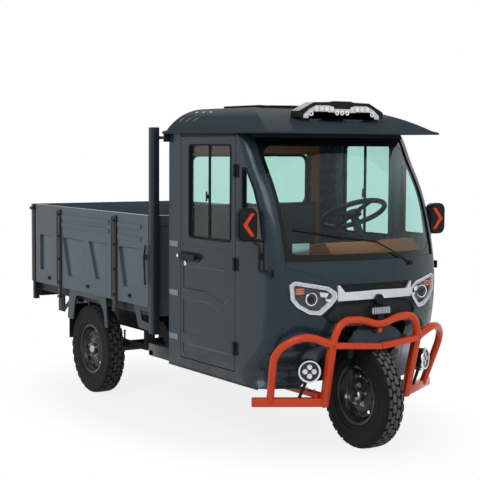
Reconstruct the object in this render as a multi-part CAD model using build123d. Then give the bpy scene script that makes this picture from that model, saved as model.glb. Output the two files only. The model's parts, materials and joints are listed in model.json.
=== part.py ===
from build123d import *
import os
from functools import lru_cache
from math import asin, cos, degrees, radians, sin, sqrt

# Electric cargo tricycle with a closed cab and an open cargo box.
# Millimetres.  +X is forward, +Y is the vehicle's left, +Z is up.
# Everything is laid out from the point on the ground under the front axle,
# and moved at the end so that the origin is under the middle of the vehicle.

# ---- driving dimensions -------------------------------------------------

tyre_radius = 292.5
tyre_width = 120.0
rim_radius = 163.0
bead_radius = 152.0
wheel_base = 2156.0
rear_track = 1082.0

cab_half_width = 570.0
cab_rear = -1144.0
cab_wall = 35.0
sill_bottom = 341.0
cab_top = 1712.0
nose_bow_radius = 1068.0
pane_half_width = 507.0
windshield_bottom = 1040.0
windshield_top = 1690.0

door_front = -409.0
door_rear = -1007.0
door_bottom = 404.0
door_top = 1700.0
door_gap = 5.0
door_window = (-915.0, -458.0, 1112.0, 1654.0)

glass_thickness = 6.0
glass_sink = 9.0

roof_half_width = 600.0
roof_rear = -1175.0
roof_crown = 1866.0
roof_skin = 30.0
visor_half_width = 616.0
visor_tip = -90.0

bed_half_width = 620.0
bed_front = -1308.0
bed_rear = -3045.0
bed_floor_top = 665.0
bed_floor_thickness = 30.0
bed_rail_depth = 60.0
board_top = 1222.0
board_thickness = 28.0
board_gap = 5.0
tall_post_top = 1752.0
tall_post_width = 65.0
tall_post_depth = 40.0
tall_post_bottom = 505.0

frame_rail_y = 300.0
frame_rail_width = 50.0
front_rail_z = (305.0, 385.0)
rear_rail_z = (430.0, 520.0)
axle_radius = 10.0
running_gap = 0.05
seat_gap = 0.3

steering_range = 35.0
bumper_tube = 21.0
stem_radius = 22.0

# ---- small helpers ------------------------------------------------------


def box(x_range, y_range, z_range):
    """A block between two values on each axis."""
    size = [abs(r[1] - r[0]) for r in (x_range, y_range, z_range)]
    middle = [(r[0] + r[1]) / 2 for r in (x_range, y_range, z_range)]
    return Pos(*middle) * Box(*size)


def mirrored(shape):
    """The same shape on the other side of the vehicle."""
    return mirror(shape, about=Plane.XZ)


def both_sides(shape):
    return Compound(children=[shape, mirrored(shape)])


def side_plate(outline, y_range):
    """A plate with a side-view outline (x, z points), between two values of y."""
    face = make_face(Polyline([(x, z) for x, z in outline], close=True))
    sheet = Plane.XZ * face
    return Pos(0, y_range[1], 0) * extrude(sheet, amount=y_range[1] - y_range[0])


def tube(points, radius, bend):
    """A round bar along a bent line."""
    path = FilletPolyline(*points, radius=bend) if len(points) > 2 else Line(*points)
    section = Plane(origin=path @ 0, z_dir=path % 0) * Circle(radius)
    return sweep(section, path=path)


# ---- cab shell ----------------------------------------------------------

# height, foremost point on the centre line, corner radius
nose_stations = [
    (sill_bottom - 6, -48.0, 130.0),
    (565.0, 40.0, 125.0),
    (690.0, 94.0, 120.0),
    (860.0, 112.0, 120.0),
    (1040.0, 98.0, 118.0),
    (1200.0, 58.0, 108.0),
    (1340.0, 8.0, 90.0),
    (1460.0, -57.0, 75.0),
    (1580.0, -135.0, 62.0),
    (cab_top + 6, -226.0, 50.0),
]


def plan_outline(front, corner, inset):
    """The cab seen from above at one height: bowed front, round corners, flat sides."""
    half = cab_half_width - inset
    radius = nose_bow_radius - inset
    corner = max(corner - inset, 15.0)
    front = front - inset
    turn = asin((half - corner) / (radius - corner))
    arc_end = (front - radius * (1 - cos(turn)), radius * sin(turn))
    middle = (turn + radians(90)) / 2
    centre = (arc_end[0] - corner * cos(turn), half - corner)
    corner_mid = (centre[0] + corner * cos(middle), centre[1] + corner * sin(middle))
    rear = cab_rear + inset

    def other(point):
        return (point[0], -point[1])

    edges = [
        ThreePointArc(other(arc_end), (front, 0), arc_end),
        ThreePointArc(arc_end, corner_mid, (centre[0], half)),
        Line((centre[0], half), (rear, half)),
        Line((rear, half), (rear, -half)),
        Line((rear, -half), (centre[0], -half)),
        ThreePointArc((centre[0], -half), other(corner_mid), other(arc_end)),
    ]
    return make_face(edges)


@lru_cache(maxsize=None)
def cab_solid(inset):
    """The whole cab as one solid, inset by a distance from its outer skin."""
    sections = []
    for height, front, corner in nose_stations:
        sections.append(Pos(0, 0, height) * plan_outline(front, corner, inset))
    return loft(sections)


shell = cab_solid(0) - cab_solid(cab_wall)
front_zone_x = (-430, 400)
pane_zone = box((-420, 400), (-pane_half_width, pane_half_width), (windshield_bottom, windshield_top))
rear_zone = box((cab_rear - 5, cab_rear + cab_wall), (-cab_half_width + cab_wall, cab_half_width - cab_wall),
                (sill_bottom, cab_top))


def door_outline(gap):
    return ((door_rear + gap, door_front - gap), (door_bottom + gap, door_top - gap))


quarter_window = [(-350, 1135), (-135, 1135), (-168, 1290), (-225, 1420), (-305, 1530), (-350, 1530)]


def cab_side_right():
    """Rear pillar, sill, roof rail and front quarter in one panel, with door and window openings."""
    zone = box((cab_rear - 5, 400), (-cab_half_width - 5, -pane_half_width), (sill_bottom, cab_top))
    panel = (shell & zone) - rear_zone
    x_range, z_range = door_outline(0)
    panel -= box(x_range, (-cab_half_width - 10, -pane_half_width + 10), z_range)
    panel -= side_plate(quarter_window, (-cab_half_width - 10, -pane_half_width - 1))
    return panel


def cab_rear_wall():
    wall = shell & rear_zone
    wall -= box((cab_rear - 5, cab_rear + 50), (-600, 600), (300, 385))
    wall -= box((cab_rear - 5, cab_rear + cab_wall + 5), (-430, 430), (1275, 1590))
    return wall


def cab_windows():
    """Windshield, two quarter windows and the rear window."""
    layer = cab_solid(glass_sink) - cab_solid(glass_sink + glass_thickness)
    windshield = layer & pane_zone
    quarter = side_plate(quarter_window, (-cab_half_width + 14, -cab_half_width + 20))
    rear = box((cab_rear + 14, cab_rear + 20), (-430, 430), (1275, 1590))
    return Compound(children=[windshield, quarter, mirrored(quarter), rear])


arch_half_width = 240.0
arch_rear = -372.0
arch_opening_top = 690.0
arch_cover_top = 834.0
panel_thickness = 4.0


def front_fascia():
    zone = box((-300, 400), (-pane_half_width, pane_half_width), (sill_bottom, windshield_bottom))
    panel = shell & zone
    panel -= box((-400, 400), (-arch_half_width, arch_half_width), (sill_bottom - 20, arch_opening_top))
    return panel


def windshield_header():
    """The strip above the windshield that carries the roof."""
    return shell & box((-500, 400), (-pane_half_width, pane_half_width), (windshield_top, cab_top))


def cab_floor():
    """Floor pan, the cover over the front wheel and steering head, and the seat box."""
    inner = cab_half_width - cab_wall
    floor_z = (385, 400)
    room = cab_solid(cab_wall + seat_gap)
    wheel_space = box((arch_rear, 400), (-arch_half_width, arch_half_width),
                      (300, arch_cover_top - panel_thickness))
    pan = box((cab_rear + cab_wall, 400), (-inner, inner), floor_z)
    cover = box((arch_rear - panel_thickness, 400),
                (-arch_half_width - panel_thickness, arch_half_width + panel_thickness),
                (floor_z[0], arch_cover_top))
    seat_box = box((-1000, -620), (-480, 480), (floor_z[1], 740)) - box((-996, -624), (-476, 476), (floor_z[0], 736))
    return ((pan + cover) & room) - wheel_space + seat_box


def roof_envelope():
    """The outer form of the roof: a dome with a drip rail and a forward visor."""
    half = roof_half_width
    dome = make_face([
        Line((-half, cab_top), (half, cab_top)),
        Line((half, cab_top), (half, cab_top + 14)),
        Line((half, cab_top + 14), (half - 30, cab_top + 22)),
        ThreePointArc((half - 30, cab_top + 22), (430, 1838), (250, 1860)),
        ThreePointArc((250, 1860), (0, roof_crown), (-250, 1860)),
        ThreePointArc((-250, 1860), (-430, 1838), (-half + 30, cab_top + 22)),
        Line((-half + 30, cab_top + 22), (-half, cab_top + 14)),
        Line((-half, cab_top + 14), (-half, cab_top)),
    ])
    body = extrude(Pos(roof_rear, 0, 0) * (Plane.YZ * dome), amount=visor_tip - roof_rear)
    side = make_face([
        Line((roof_rear, cab_top), (visor_tip, cab_top)),
        Line((visor_tip, cab_top), (visor_tip, cab_top + 8)),
        Spline((visor_tip, cab_top + 8), (-240, 1782), (-420, 1835), (-640, 1864)),
        Line((-640, 1864), (-640, 1900)),
        Line((-640, 1900), (roof_rear, 1900)),
        Line((roof_rear, 1900), (roof_rear, cab_top)),
    ])
    profile = extrude(Plane.XZ * side, amount=half + 50, both=True)
    return body & profile


def roof():
    body = roof_envelope()
    inner = Pos(0, 0, -roof_skin) * body
    inner &= box((cab_rear + cab_wall, -330), (-500, 500), (cab_top - 50, 1900))
    return body - inner


# ---- doors --------------------------------------------------------------


def door_right():
    x_range, z_range = door_outline(door_gap)
    panel = box(x_range, (-cab_half_width, -cab_half_width + cab_wall), z_range)
    x0, x1, z0, z1 = door_window
    panel -= box((x0, x1), (-cab_half_width - 5, -cab_half_width + cab_wall + 5), (z0, z1))
    for height in (535, 998, 1509):
        panel += box((door_front - 40, door_front - 8), (-cab_half_width - 14, -cab_half_width), (height - 30, height + 30))
    return panel


def door_glass_right():
    x0, x1, z0, z1 = door_window
    return box((x0, x1), (-cab_half_width + 14, -cab_half_width + 20), (z0, z1))


def door_handle_right():
    plate = box((-1000, -830), (-cab_half_width - 6, -cab_half_width), (985, 1030))
    grip = box((-985, -790), (-cab_half_width - 34, -cab_half_width - 22), (992, 1022))
    stem = box((-985, -960), (-cab_half_width - 22, -cab_half_width - 6), (992, 1022))
    return plate + grip + stem


# ---- nose fittings ------------------------------------------------------


def skin_layer(sink, thickness, zone):
    return (cab_solid(-sink) - cab_solid(-sink + thickness)) & zone


trim_zone = box((-100, 400), (-290, 290), (880, 915))
grille_zones = [
    box((-100, 400), (-255, 255), (822, 878)),
    box((-100, 400), (-285, 285), (726, 795)),
]
lamp_outline = [(-270, 905), (-330, 935), (-500, 945), (-507, 900), (-430, 830), (-300, 800), (-262, 822)]


def front_view_prism(outline, x_range):
    """A prism with a front-view outline (y, z points), between two values of x."""
    face = make_face(Polyline([(y, z) for y, z in outline], close=True))
    return extrude(Pos(x_range[0], 0, 0) * (Plane.YZ * face), amount=x_range[1] - x_range[0])


def headlamp_right():
    zone = front_view_prism(lamp_outline, (-140, 400))
    return skin_layer(12, 12, zone) - trim_zone


def front_grille():
    layer = cab_solid(-6) - cab_solid(0)
    parts = []
    for zone in grille_zones:
        parts.append(layer & zone)
    return Compound(children=parts)


def front_trim():
    return (cab_solid(-14) - cab_solid(0)) & trim_zone


def mirrors():
    head = box((-195, -150), (-716, -594), (1134, 1320))
    arm = tube([(-172, -650, 1134), (-172, -650, 1010), (-172, -cab_half_width, 1010)], 9, 30)
    return both_sides((head + arm) - cab_solid(0))


def wiper():
    pivot = Pos(80, 250, 1012) * Rot(0, 90, 0) * Cylinder(14, 60)
    arm = tube([(105, 250, 1012), (118, 0, 1130), (20, -440, 1200)], 6, 20)
    return (pivot + arm) - cab_solid(0)


def roof_light_bar():
    beam = box((-300, -215), (-290, 290), (1815, 1895))
    legs = box((-290, -225), (-250, -190), (1740, 1815))
    return (beam + legs + mirrored(legs)) - roof_envelope()


# ---- bumper -------------------------------------------------------------


fog_centre = (30, -397, 455)


@lru_cache(maxsize=None)
def bumper():
    foot_end = (40, -281, 285)
    post_top = (128, -286, 611)
    outer_foot = (-112, -530, 322)
    post = tube([foot_end, post_top], bumper_tube, 0)
    foot = tube([foot_end, outer_foot], bumper_tube, 0)
    hoop = tube([post_top, (75, -440, 650), (40, -505, 600), outer_foot], bumper_tube, 35)
    crown = tube([post_top, (140, -175, 738), (152, -60, 718), (152, 60, 718), (140, 175, 738),
                  (128, 286, 611)], bumper_tube, 40)
    cross = tube([(128, -286, 605), (155, 0, 580), (128, 286, 605)], bumper_tube, 60)
    stay = tube([(-25, -397, 302), (10, -397, 440)], 9, 0)
    arm = box((-345, 40), (-330, -285), (front_rail_z[0], sill_bottom - 7))
    half = post + foot + hoop + stay + arm
    return (half + mirrored(half) + crown + cross) - cab_solid(-seat_gap)


def bumper_lamps():
    fog = Pos(*fog_centre) * Rot(0, 0, -35) * Rot(0, 90, 0) * Cylinder(52, 40)
    centre = box((120, 175), (-35, 35), (735, 790))
    return Compound(children=[fog - bumper(), mirrored(fog - bumper()), centre - bumper()])


# ---- inside the cab -----------------------------------------------------


def dashboard():
    zone = box((-300, 400), (-535, 535), (850, 1020))
    block = cab_solid(cab_wall + seat_gap) & zone
    hollow = cab_solid(cab_wall + 25) & box((-275, 400), (-510, 510), (800, 995))
    return block - hollow - steering_column()


steering_centre = (-400, 230, 1255)


def steering_column():
    return tube([(-200, 230, 870), (-385, 230, 1228)], 24, 0)


def steering_wheel():
    ring = Torus(185, 15)
    hub = Cylinder(45, 30)
    spokes = Box(340, 34, 10) + Pos(0, -85, 0) * Box(34, 150, 10)
    wheel = ring + hub + spokes
    return Pos(*steering_centre) * Rot(0, -27, 0) * wheel


def seat():
    cushion = box((-1000, -560), (-470, 470), (740, 850))
    backs = []
    for middle in (-235, 235):
        back = box((-1090, -1000), (middle - 215, middle + 215), (800, 1330))
        backs.append(back)
    return Compound(children=[cushion] + backs)


# ---- wheels -------------------------------------------------------------


def tyre():
    shoulder = tyre_radius - 26
    half = tyre_width / 2
    section = make_face([
        Line((bead_radius, -half * 0.72), (rim_radius + 20, -half * 0.95)),
        ThreePointArc((rim_radius + 20, -half * 0.95), (rim_radius + 62, -half), (shoulder, -half * 0.93)),
        ThreePointArc((shoulder, -half * 0.93), (tyre_radius - 8, -half * 0.78), (tyre_radius - 1, -half * 0.5)),
        ThreePointArc((tyre_radius - 1, -half * 0.5), (tyre_radius, 0), (tyre_radius - 1, half * 0.5)),
        ThreePointArc((tyre_radius - 1, half * 0.5), (tyre_radius - 8, half * 0.78), (shoulder, half * 0.93)),
        ThreePointArc((shoulder, half * 0.93), (rim_radius + 62, half), (rim_radius + 20, half * 0.95)),
        Line((rim_radius + 20, half * 0.95), (bead_radius, half * 0.72)),
        Line((bead_radius, half * 0.72), (bead_radius, -half * 0.72)),
    ])
    return revolve(Plane.XY * section, axis=Axis.Y)


def rim():
    half = tyre_width / 2 * 0.72
    barrel = Cylinder(bead_radius, 2 * half) - Cylinder(bead_radius - 6, 2 * half + 2)
    disc = Pos(0, 0, half - 30) * (Cylinder(bead_radius - 6, 8) - Cylinder(30, 9))
    for turn in range(0, 360, 45):
        disc -= Rot(0, 0, turn) * Pos(108, 0, half - 30) * Cylinder(15, 20)
    hub = Pos(0, 0, half - 34) * (Cylinder(45, 40) - Cylinder(axle_radius + running_gap, 60))
    return Rot(90, 0, 0) * (barrel + disc + hub)


def placed_wheel(shape, x, y):
    return Pos(x, y, tyre_radius) * shape


# ---- front fork ---------------------------------------------------------


def front_fork():
    crown = box((-60, 60), (-110, 110), (612, 642))
    legs = []
    for side in (-1, 1):
        legs.append(Pos(0, side * 85, 452) * Cylinder(20, 340))
        legs.append(box((-24, 24), (side * 85 - 12, side * 85 + 12), (262, 330)))
    stem = Pos(0, 0, 710) * Cylinder(stem_radius, 150)
    axle = Pos(0, 0, tyre_radius) * Rot(90, 0, 0) * Cylinder(axle_radius, 180)
    fork = crown + stem
    for leg in legs:
        fork += leg
    return fork + axle


def front_mudguard():
    ring = Cylinder(tyre_radius + 20, 130) - Cylinder(tyre_radius + 16, 132)
    ring = Pos(0, 0, tyre_radius) * Rot(90, 0, 0) * ring
    return ring & box((-400, 40), (-100, 100), (450, 700))


# ---- chassis and cargo box ----------------------------------------------


def chassis_frame():
    low, high = front_rail_z
    rear_low, rear_high = rear_rail_z
    outline = [(-345, low), (-345, high), (-1420, high), (-1600, rear_high), (bed_rear + 60, rear_high),
               (bed_rear + 60, rear_low), (-1640, rear_low), (-1460, low)]
    rail = side_plate(outline, (-frame_rail_y - frame_rail_width, -frame_rail_y))
    frame = rail + mirrored(rail)
    for x in (-1350, -800, -380):
        frame += box((x - 30, x + 30), (-frame_rail_y, frame_rail_y), (low + 10, high))
    for x in (-2900, -2450, -1850):
        frame += box((x - 30, x + 30), (-frame_rail_y, frame_rail_y), (rear_low + 10, rear_high))
    head = Pos(0, 0, 742) * (Cylinder(34, 94) - Cylinder(stem_radius + running_gap, 120))
    for side in (-1, 1):
        leg = tube([(-352, side * 150, 375), (-352, side * 120, 742), (-20, side * 8, 742)], 17, 80)
        head += leg - Pos(0, 0, 742) * Cylinder(34, 200)
    return frame + head


def bed_floor():
    floor = box((bed_rear, bed_front), (-bed_half_width + 34, bed_half_width - 34),
                (bed_floor_top - bed_floor_thickness, bed_floor_top))
    rail_z = (bed_floor_top - bed_rail_depth, bed_floor_top - bed_floor_thickness)
    rail = box((bed_rear, bed_front), (-bed_half_width + 34, -bed_half_width + 74), rail_z)
    post = box((bed_rear, bed_rear + 35), (-bed_half_width, -bed_half_width + 34), (540, board_top))
    floor += rail + mirrored(rail) + post + mirrored(post)
    for x in (-2900, -2450, -1850, -1375):
        floor += box((x - 30, x + 30), (-bed_half_width + 74, bed_half_width - 74), rail_z)
        riser_low = rear_rail_z[1] if x < -1600 else front_rail_z[1]
        riser = box((x - 30, x + 30), (-frame_rail_y - frame_rail_width, -frame_rail_y), (riser_low, rail_z[0]))
        floor += riser + mirrored(riser)
    return floor


def side_board_right():
    board = box((bed_rear + 40, bed_front - board_gap), (-bed_half_width, -bed_half_width + board_thickness),
                (bed_floor_top, board_top))
    for x in (-2632, -1809):
        board += box((x - 14, x + 14), (-bed_half_width - 12, -bed_half_width), (590, board_top + 12))
    return board


def tailgate():
    return box((bed_rear - 28, bed_rear - 4), (-bed_half_width + 2, bed_half_width - 2), (bed_floor_top, board_top))


def bed_headboard():
    post = box((bed_front, bed_front + tall_post_width), (-bed_half_width, -bed_half_width + tall_post_depth),
               (tall_post_bottom, tall_post_top))
    panel = box((bed_front, bed_front + 30), (-bed_half_width + tall_post_depth, bed_half_width - tall_post_depth),
                (bed_floor_top - bed_rail_depth, board_top))
    rod = tube([(bed_front + tall_post_width, -540 - 45, 1690), (cab_rear, -540 - 45, 1690)], 9, 0)
    half = post + rod
    return panel + half + mirrored(half)


def rear_axle():
    y_end = rear_track / 2 - 50
    spindle = Pos(-wheel_base, 0, tyre_radius) * Rot(90, 0, 0) * Cylinder(axle_radius, rear_track + 60)
    tube_part = Pos(-wheel_base, 0, tyre_radius) * Rot(90, 0, 0) * Cylinder(34, 2 * y_end)
    motor = Pos(-wheel_base + 60, 60, tyre_radius) * Rot(90, 0, 0) * Cylinder(105, 240)
    return tube_part + motor + spindle


def leaf_springs():
    y_range = (-410, -frame_rail_y - frame_rail_width)
    leaf = box((-wheel_base - 420, -wheel_base + 420), y_range, (326.5, 345))
    hangers = box((-wheel_base - 440, -wheel_base - 400), y_range, (326.5, 560))
    hangers += box((-wheel_base + 400, -wheel_base + 440), y_range, (326.5, 560))
    return both_sides(leaf + hangers)


def battery_box():
    return box((-1640, -1400), (-frame_rail_y, frame_rail_y), (305, 420))


def rear_fender_right():
    outline = [(-2530, 470), (-2500, 660), (-1850, 660), (-1780, 480), (-1830, 480), (-1900, 600), (-2420, 600),
               (-2470, 470)]
    return side_plate(outline, (-bed_half_width, -bed_half_width + 34))


def bed_steps():
    step = side_plate([(-1500, 570), (bed_front, 570), (bed_front, 505), (-1460, 530)],
                      (-bed_half_width + 34, -bed_half_width + 38))
    return both_sides(step)


def tail_lamps():
    lamp = box((bed_rear - 10, bed_rear + 60), (-586, -430), (562, bed_floor_top - bed_rail_depth))
    return both_sides(lamp)


nodes = {
    "chassis_frame": chassis_frame(),
    "cab_floor": cab_floor(),
    "cab_side_right": cab_side_right(),
    "cab_rear_wall": cab_rear_wall(),
    "cab_windows": cab_windows(),
    "front_fascia": front_fascia(),
    "front_grille": front_grille(),
    "front_trim": front_trim(),
    "headlamps": both_sides(headlamp_right()),
    "roof": roof() + windshield_header(),
    "roof_light_bar": roof_light_bar(),
    "door_right": door_right(),
    "door_glass_right": door_glass_right(),
    "door_handle_right": door_handle_right(),
    "dashboard": dashboard(),
    "steering_column": steering_column(),
    "steering_wheel": steering_wheel(),
    "seat": seat(),
    "mirrors": mirrors(),
    "wiper": wiper(),
    "bumper": bumper(),
    "bumper_lamps": bumper_lamps(),
    "front_fork": front_fork(),
    "front_mudguard": front_mudguard(),
    "front_rim": placed_wheel(rim(), 0, 0),
    "front_tyre": placed_wheel(tyre(), 0, 0),
    "bed_floor": bed_floor(),
    "bed_headboard": bed_headboard(),
    "side_board_right": side_board_right(),
    "tailgate": tailgate(),
    "rear_axle": rear_axle(),
    "leaf_springs": leaf_springs(),
    "battery_box": battery_box(),
    "rear_fenders": both_sides(rear_fender_right()),
    "bed_steps": bed_steps(),
    "tail_lamps": tail_lamps(),
    "rear_rim_right": placed_wheel(rim(), -wheel_base, -rear_track / 2),
    "rear_tyre_right": placed_wheel(tyre(), -wheel_base, -rear_track / 2),
}
for name in ("cab_side", "door", "door_glass", "door_handle", "side_board", "rear_rim", "rear_tyre"):
    nodes[name + "_left"] = mirrored(nodes[name + "_right"])

foremost = nodes["front_tyre"].bounding_box().max.X
rearmost = nodes["tailgate"].bounding_box().min.X
shift = Pos(-(foremost + rearmost) / 2, 0, 0)
os.makedirs("parts", exist_ok=True)
for name, shape in nodes.items():
    export_step(shift * shape, f"parts/{name}.step")
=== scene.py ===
import bpy
import bmesh
import json
from math import cos, pi, radians, sin
from mathutils import Matrix, Vector
from mathutils.bvhtree import BVHTree


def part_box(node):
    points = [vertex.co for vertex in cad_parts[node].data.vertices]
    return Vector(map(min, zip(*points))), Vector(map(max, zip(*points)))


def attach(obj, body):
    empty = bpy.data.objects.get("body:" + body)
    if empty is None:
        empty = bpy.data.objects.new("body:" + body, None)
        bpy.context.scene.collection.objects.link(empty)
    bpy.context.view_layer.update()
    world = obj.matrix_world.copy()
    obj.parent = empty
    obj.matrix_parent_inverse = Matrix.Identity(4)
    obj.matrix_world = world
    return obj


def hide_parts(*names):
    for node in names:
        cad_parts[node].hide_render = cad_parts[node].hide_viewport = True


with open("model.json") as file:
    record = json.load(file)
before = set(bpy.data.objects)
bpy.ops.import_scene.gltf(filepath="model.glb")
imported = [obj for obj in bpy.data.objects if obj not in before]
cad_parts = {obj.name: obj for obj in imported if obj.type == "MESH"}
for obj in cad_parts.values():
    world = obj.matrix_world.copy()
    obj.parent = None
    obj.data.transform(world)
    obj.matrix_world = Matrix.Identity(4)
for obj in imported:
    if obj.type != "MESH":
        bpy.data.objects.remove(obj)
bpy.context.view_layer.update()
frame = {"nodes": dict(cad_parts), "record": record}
nodes = frame["nodes"]
slot_of = {entry["node"]: entry["material_slot"] for entry in frame["record"]["subparts"]}

# Shapes are drawn in millimetres from the ground under the front axle: X forwards, Y to the left, Z up.
# piece() sets a finished shape in the frame, in metres.
front_low, front_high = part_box("front_tyre")
origin = Vector(((front_low.x + front_high.x) / 2, 0, 0))
tyre_radius = (front_high.z - front_low.z) * 500
axle_height = 292.5


# ---- camera, lights and floor -------------------------------------------

camera_place = Vector((6.7035, -4.2222, 1.6415))
camera_heading = radians(147.251)
camera_pitch = radians(-4.289)
camera_roll = radians(0.308)
camera_lens = 93.75
light_on_objects = 0.38
light_on_floor_edge = 0.84


def linked(data, place=None):
    """A new object for some data, in the scene; place is its matrix."""
    made = bpy.data.objects.new(data.name, data)
    if place is not None:
        made.matrix_world = place
    bpy.context.scene.collection.objects.link(made)
    return made


def add_camera():
    data = bpy.data.cameras.new("camera")
    data.lens = camera_lens
    data.sensor_width = 36
    turn = (Matrix.Rotation(camera_heading - pi / 2, 4, "Z") @ Matrix.Rotation(pi / 2 + camera_pitch, 4, "X")
            @ Matrix.Rotation(camera_roll, 4, "Z"))
    bpy.context.scene.camera = linked(data, Matrix.Translation(camera_place) @ turn)


def add_lamp(name, place, target, size, power, mirrored=True):
    """A square lamp that the camera doesn't see; mirrored says whether reflections show it."""
    data = bpy.data.lights.new(name, "AREA")
    data.shape = "SQUARE"
    data.size = size
    data.energy = power
    aim = (Vector(target) - Vector(place)).to_track_quat("-Z", "Y").to_matrix().to_4x4()
    lamp = linked(data, Matrix.Translation(place) @ aim)
    lamp.visible_camera = lamp.visible_transmission = False
    lamp.visible_glossy = mirrored


def feed(tree, value, socket):
    """Links another node's output to a socket, or sets the socket's own value."""
    if isinstance(value, bpy.types.NodeSocket):
        tree.links.new(value, socket)
    else:
        socket.default_value = value


def shading(tree, kind, inputs=(), **settings):
    """A new shader node with its settings and inputs; gives its outputs."""
    node = tree.nodes.new("ShaderNode" + kind)
    for label, value in settings.items():
        setattr(node, label, value)
    for label, value in dict(inputs).items():
        feed(tree, value, node.inputs[label])
    return node.outputs


def principled(name, values=()):
    """A new Principled material, its tree and its shader."""
    material = bpy.data.materials.new(name)
    material.use_nodes = True
    shader = material.node_tree.nodes["Principled BSDF"]
    for label, value in dict(values).items():
        shader.inputs[label].default_value = value
    return material, material.node_tree, shader


def background_mask(tree):
    """1 for what the camera sees directly, in a mirror or through glass."""
    path = shading(tree, "LightPath")
    mirrored = math(tree, "MAXIMUM", path["Is Camera Ray"], path["Is Glossy Ray"])
    return math(tree, "MAXIMUM", mirrored, path["Is Transmission Ray"])


def add_world():
    world = bpy.data.worlds.new("studio")
    world.use_nodes = True
    bpy.context.scene.world = world
    tree = world.node_tree
    tree.nodes.clear()
    lit, seen = [shading(tree, "Background", {"Color": (1, 1, 1, 1), "Strength": strength})[0]
                 for strength in (light_on_objects, 1.0)]
    mixed = shading(tree, "MixShader", {"Fac": background_mask(tree), 1: lit, 2: seen})[0]
    shading(tree, "OutputWorld", {"Surface": mixed})


def add_floor():
    """A pale floor that keeps the shadow near the wheels and is white further out."""
    shape = bmesh.new()
    bmesh.ops.create_grid(shape, x_segments=1, y_segments=1, size=14)
    mesh = bpy.data.meshes.new("floor")
    shape.to_mesh(mesh)
    shape.free()
    material, tree, shader = principled(
        "floor", {"Base Color": (0.8, 0.8, 0.8, 1), "Roughness": 0.9, "Specular IOR Level": 0.1})
    spread = shading(tree, "Mapping", {"Vector": object_place(tree), "Scale": (1 / 2.3, 1 / 1.35, 1)})[0]
    reach = shading(tree, "VectorMath", {0: spread}, operation="LENGTH")["Value"]
    fade = remap(tree, reach, 0.55, 1.0, light_on_floor_edge)
    shown = math(tree, "MULTIPLY", fade, background_mask(tree))
    white = shading(tree, "Emission", {"Strength": 1.0})[0]
    mixed = shading(tree, "MixShader", {"Fac": shown, 1: shader.outputs[0], 2: white})[0]
    tree.links.new(mixed, tree.nodes["Material Output"].inputs["Surface"])
    mesh.materials.append(material)
    linked(mesh)


# ---- shared surface effects ---------------------------------------------


def object_place(tree):
    return shading(tree, "TexCoord")["Object"]


def noise(tree, place, scale, detail=2.0, roughness=0.5):
    inputs = {"Scale": scale, "Detail": detail, "Roughness": roughness, "Vector": place}
    return shading(tree, "TexNoise", inputs)["Fac"]


def remap(tree, value, low, high, to_low=0.0, to_high=1.0):
    inputs = {"Value": value, "From Min": low, "From Max": high, "To Min": to_low, "To Max": to_high}
    return shading(tree, "MapRange", inputs, interpolation_type="SMOOTHSTEP")[0]


def math(tree, operation, first, second):
    return shading(tree, "Math", {0: first, 1: second}, operation=operation)[0]


def times(tree, first, second):
    return math(tree, "MULTIPLY", first, second)


def plus(tree, first, second):
    return math(tree, "ADD", first, second)


def blend_color(tree, mask, first, second):
    return shading(tree, "Mix", {"Factor": mask, "A": first, "B": second}, data_type="RGBA")["Result"]


def bump(tree, height, distance, strength=1.0, normal=None):
    inputs = {"Strength": strength, "Distance": distance, "Height": height}
    if normal is not None:
        inputs["Normal"] = normal
    return shading(tree, "Bump", inputs)["Normal"]


def sprayed_paint(tree, given, place):
    """Paint with fine flake, soft orange peel, faint cloudiness and road dust that thins out upwards."""
    flake = remap(tree, noise(tree, place, 1400, 1), 0.5, 0.75, 0.0, 0.35)
    cloud = remap(tree, noise(tree, place, 3.5, 3), 0.3, 0.7, 0.0, 0.12)
    painted = blend_color(tree, plus(tree, flake, cloud), given["Paint"], given["Flake"])
    height = shading(tree, "SeparateXYZ", {0: place})["Z"]
    low = remap(tree, height, 0.25, given["Dust Height"], 1.0, 0.0)
    patches = remap(tree, noise(tree, place, 9, 6, 0.62), 0.35, 0.72)
    settled = times(tree, times(tree, low, patches), given["Dust Amount"])
    rubbed = remap(tree, noise(tree, place, 28, 5, 0.6), 0.3, 0.8, 0.0, 0.08)
    rough = plus(tree, plus(tree, given["Roughness"], rubbed), times(tree, settled, 0.35))
    peel = bump(tree, noise(tree, place, 110, 2), 0.0004, 0.25)
    return blend_color(tree, settled, painted, given["Dust"]), rough, peel


def moulded_grain(tree, given, place):
    """Moulded plastic or powder coat: a pebbled grain and paler scuffs."""
    cells = shading(tree, "TexVoronoi", {"Scale": 420, "Vector": place})["Distance"]
    worn = remap(tree, noise(tree, place, 22, 6, 0.65), 0.52, 0.8, 0.0, 0.5)
    rough = plus(tree, given["Roughness"], times(tree, worn, 0.25))
    grain = bump(tree, times(tree, cells, given["Grain"]), 0.0006, 0.5)
    return blend_color(tree, worn, given["Plastic"], given["Scuff"]), rough, grain


def hide_grain(tree, given, place):
    """Leather or vinyl: irregular creased cells over slow waves, with painted shade darkening the creases."""
    ripple = shading(tree, "TexNoise", {"Scale": 60, "Vector": place})["Color"]
    warped = shading(tree, "VectorMath", {0: ripple, 1: (0.006, 0.006, 0.006), 2: place},
                     operation="MULTIPLY_ADD")[0]
    creases = shading(tree, "TexVoronoi", {"Scale": given["Scale"], "Vector": warped},
                      feature="DISTANCE_TO_EDGE")["Distance"]
    pebble = remap(tree, creases, 0.0, 0.12)
    waves = noise(tree, place, 14, 4)
    # Painted shade: the colour is blended towards the darker crease colour along the creases.
    tone = times(tree, pebble, remap(tree, waves, 0.25, 0.75, 0.7, 1.0))
    rough = plus(tree, given["Roughness"], times(tree, waves, 0.12))
    relief = bump(tree, waves, 0.002, 0.3, bump(tree, pebble, 0.0002, 0.3))
    return blend_color(tree, tone, given["Crease Shade"], given["Hide"]), rough, relief


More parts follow.
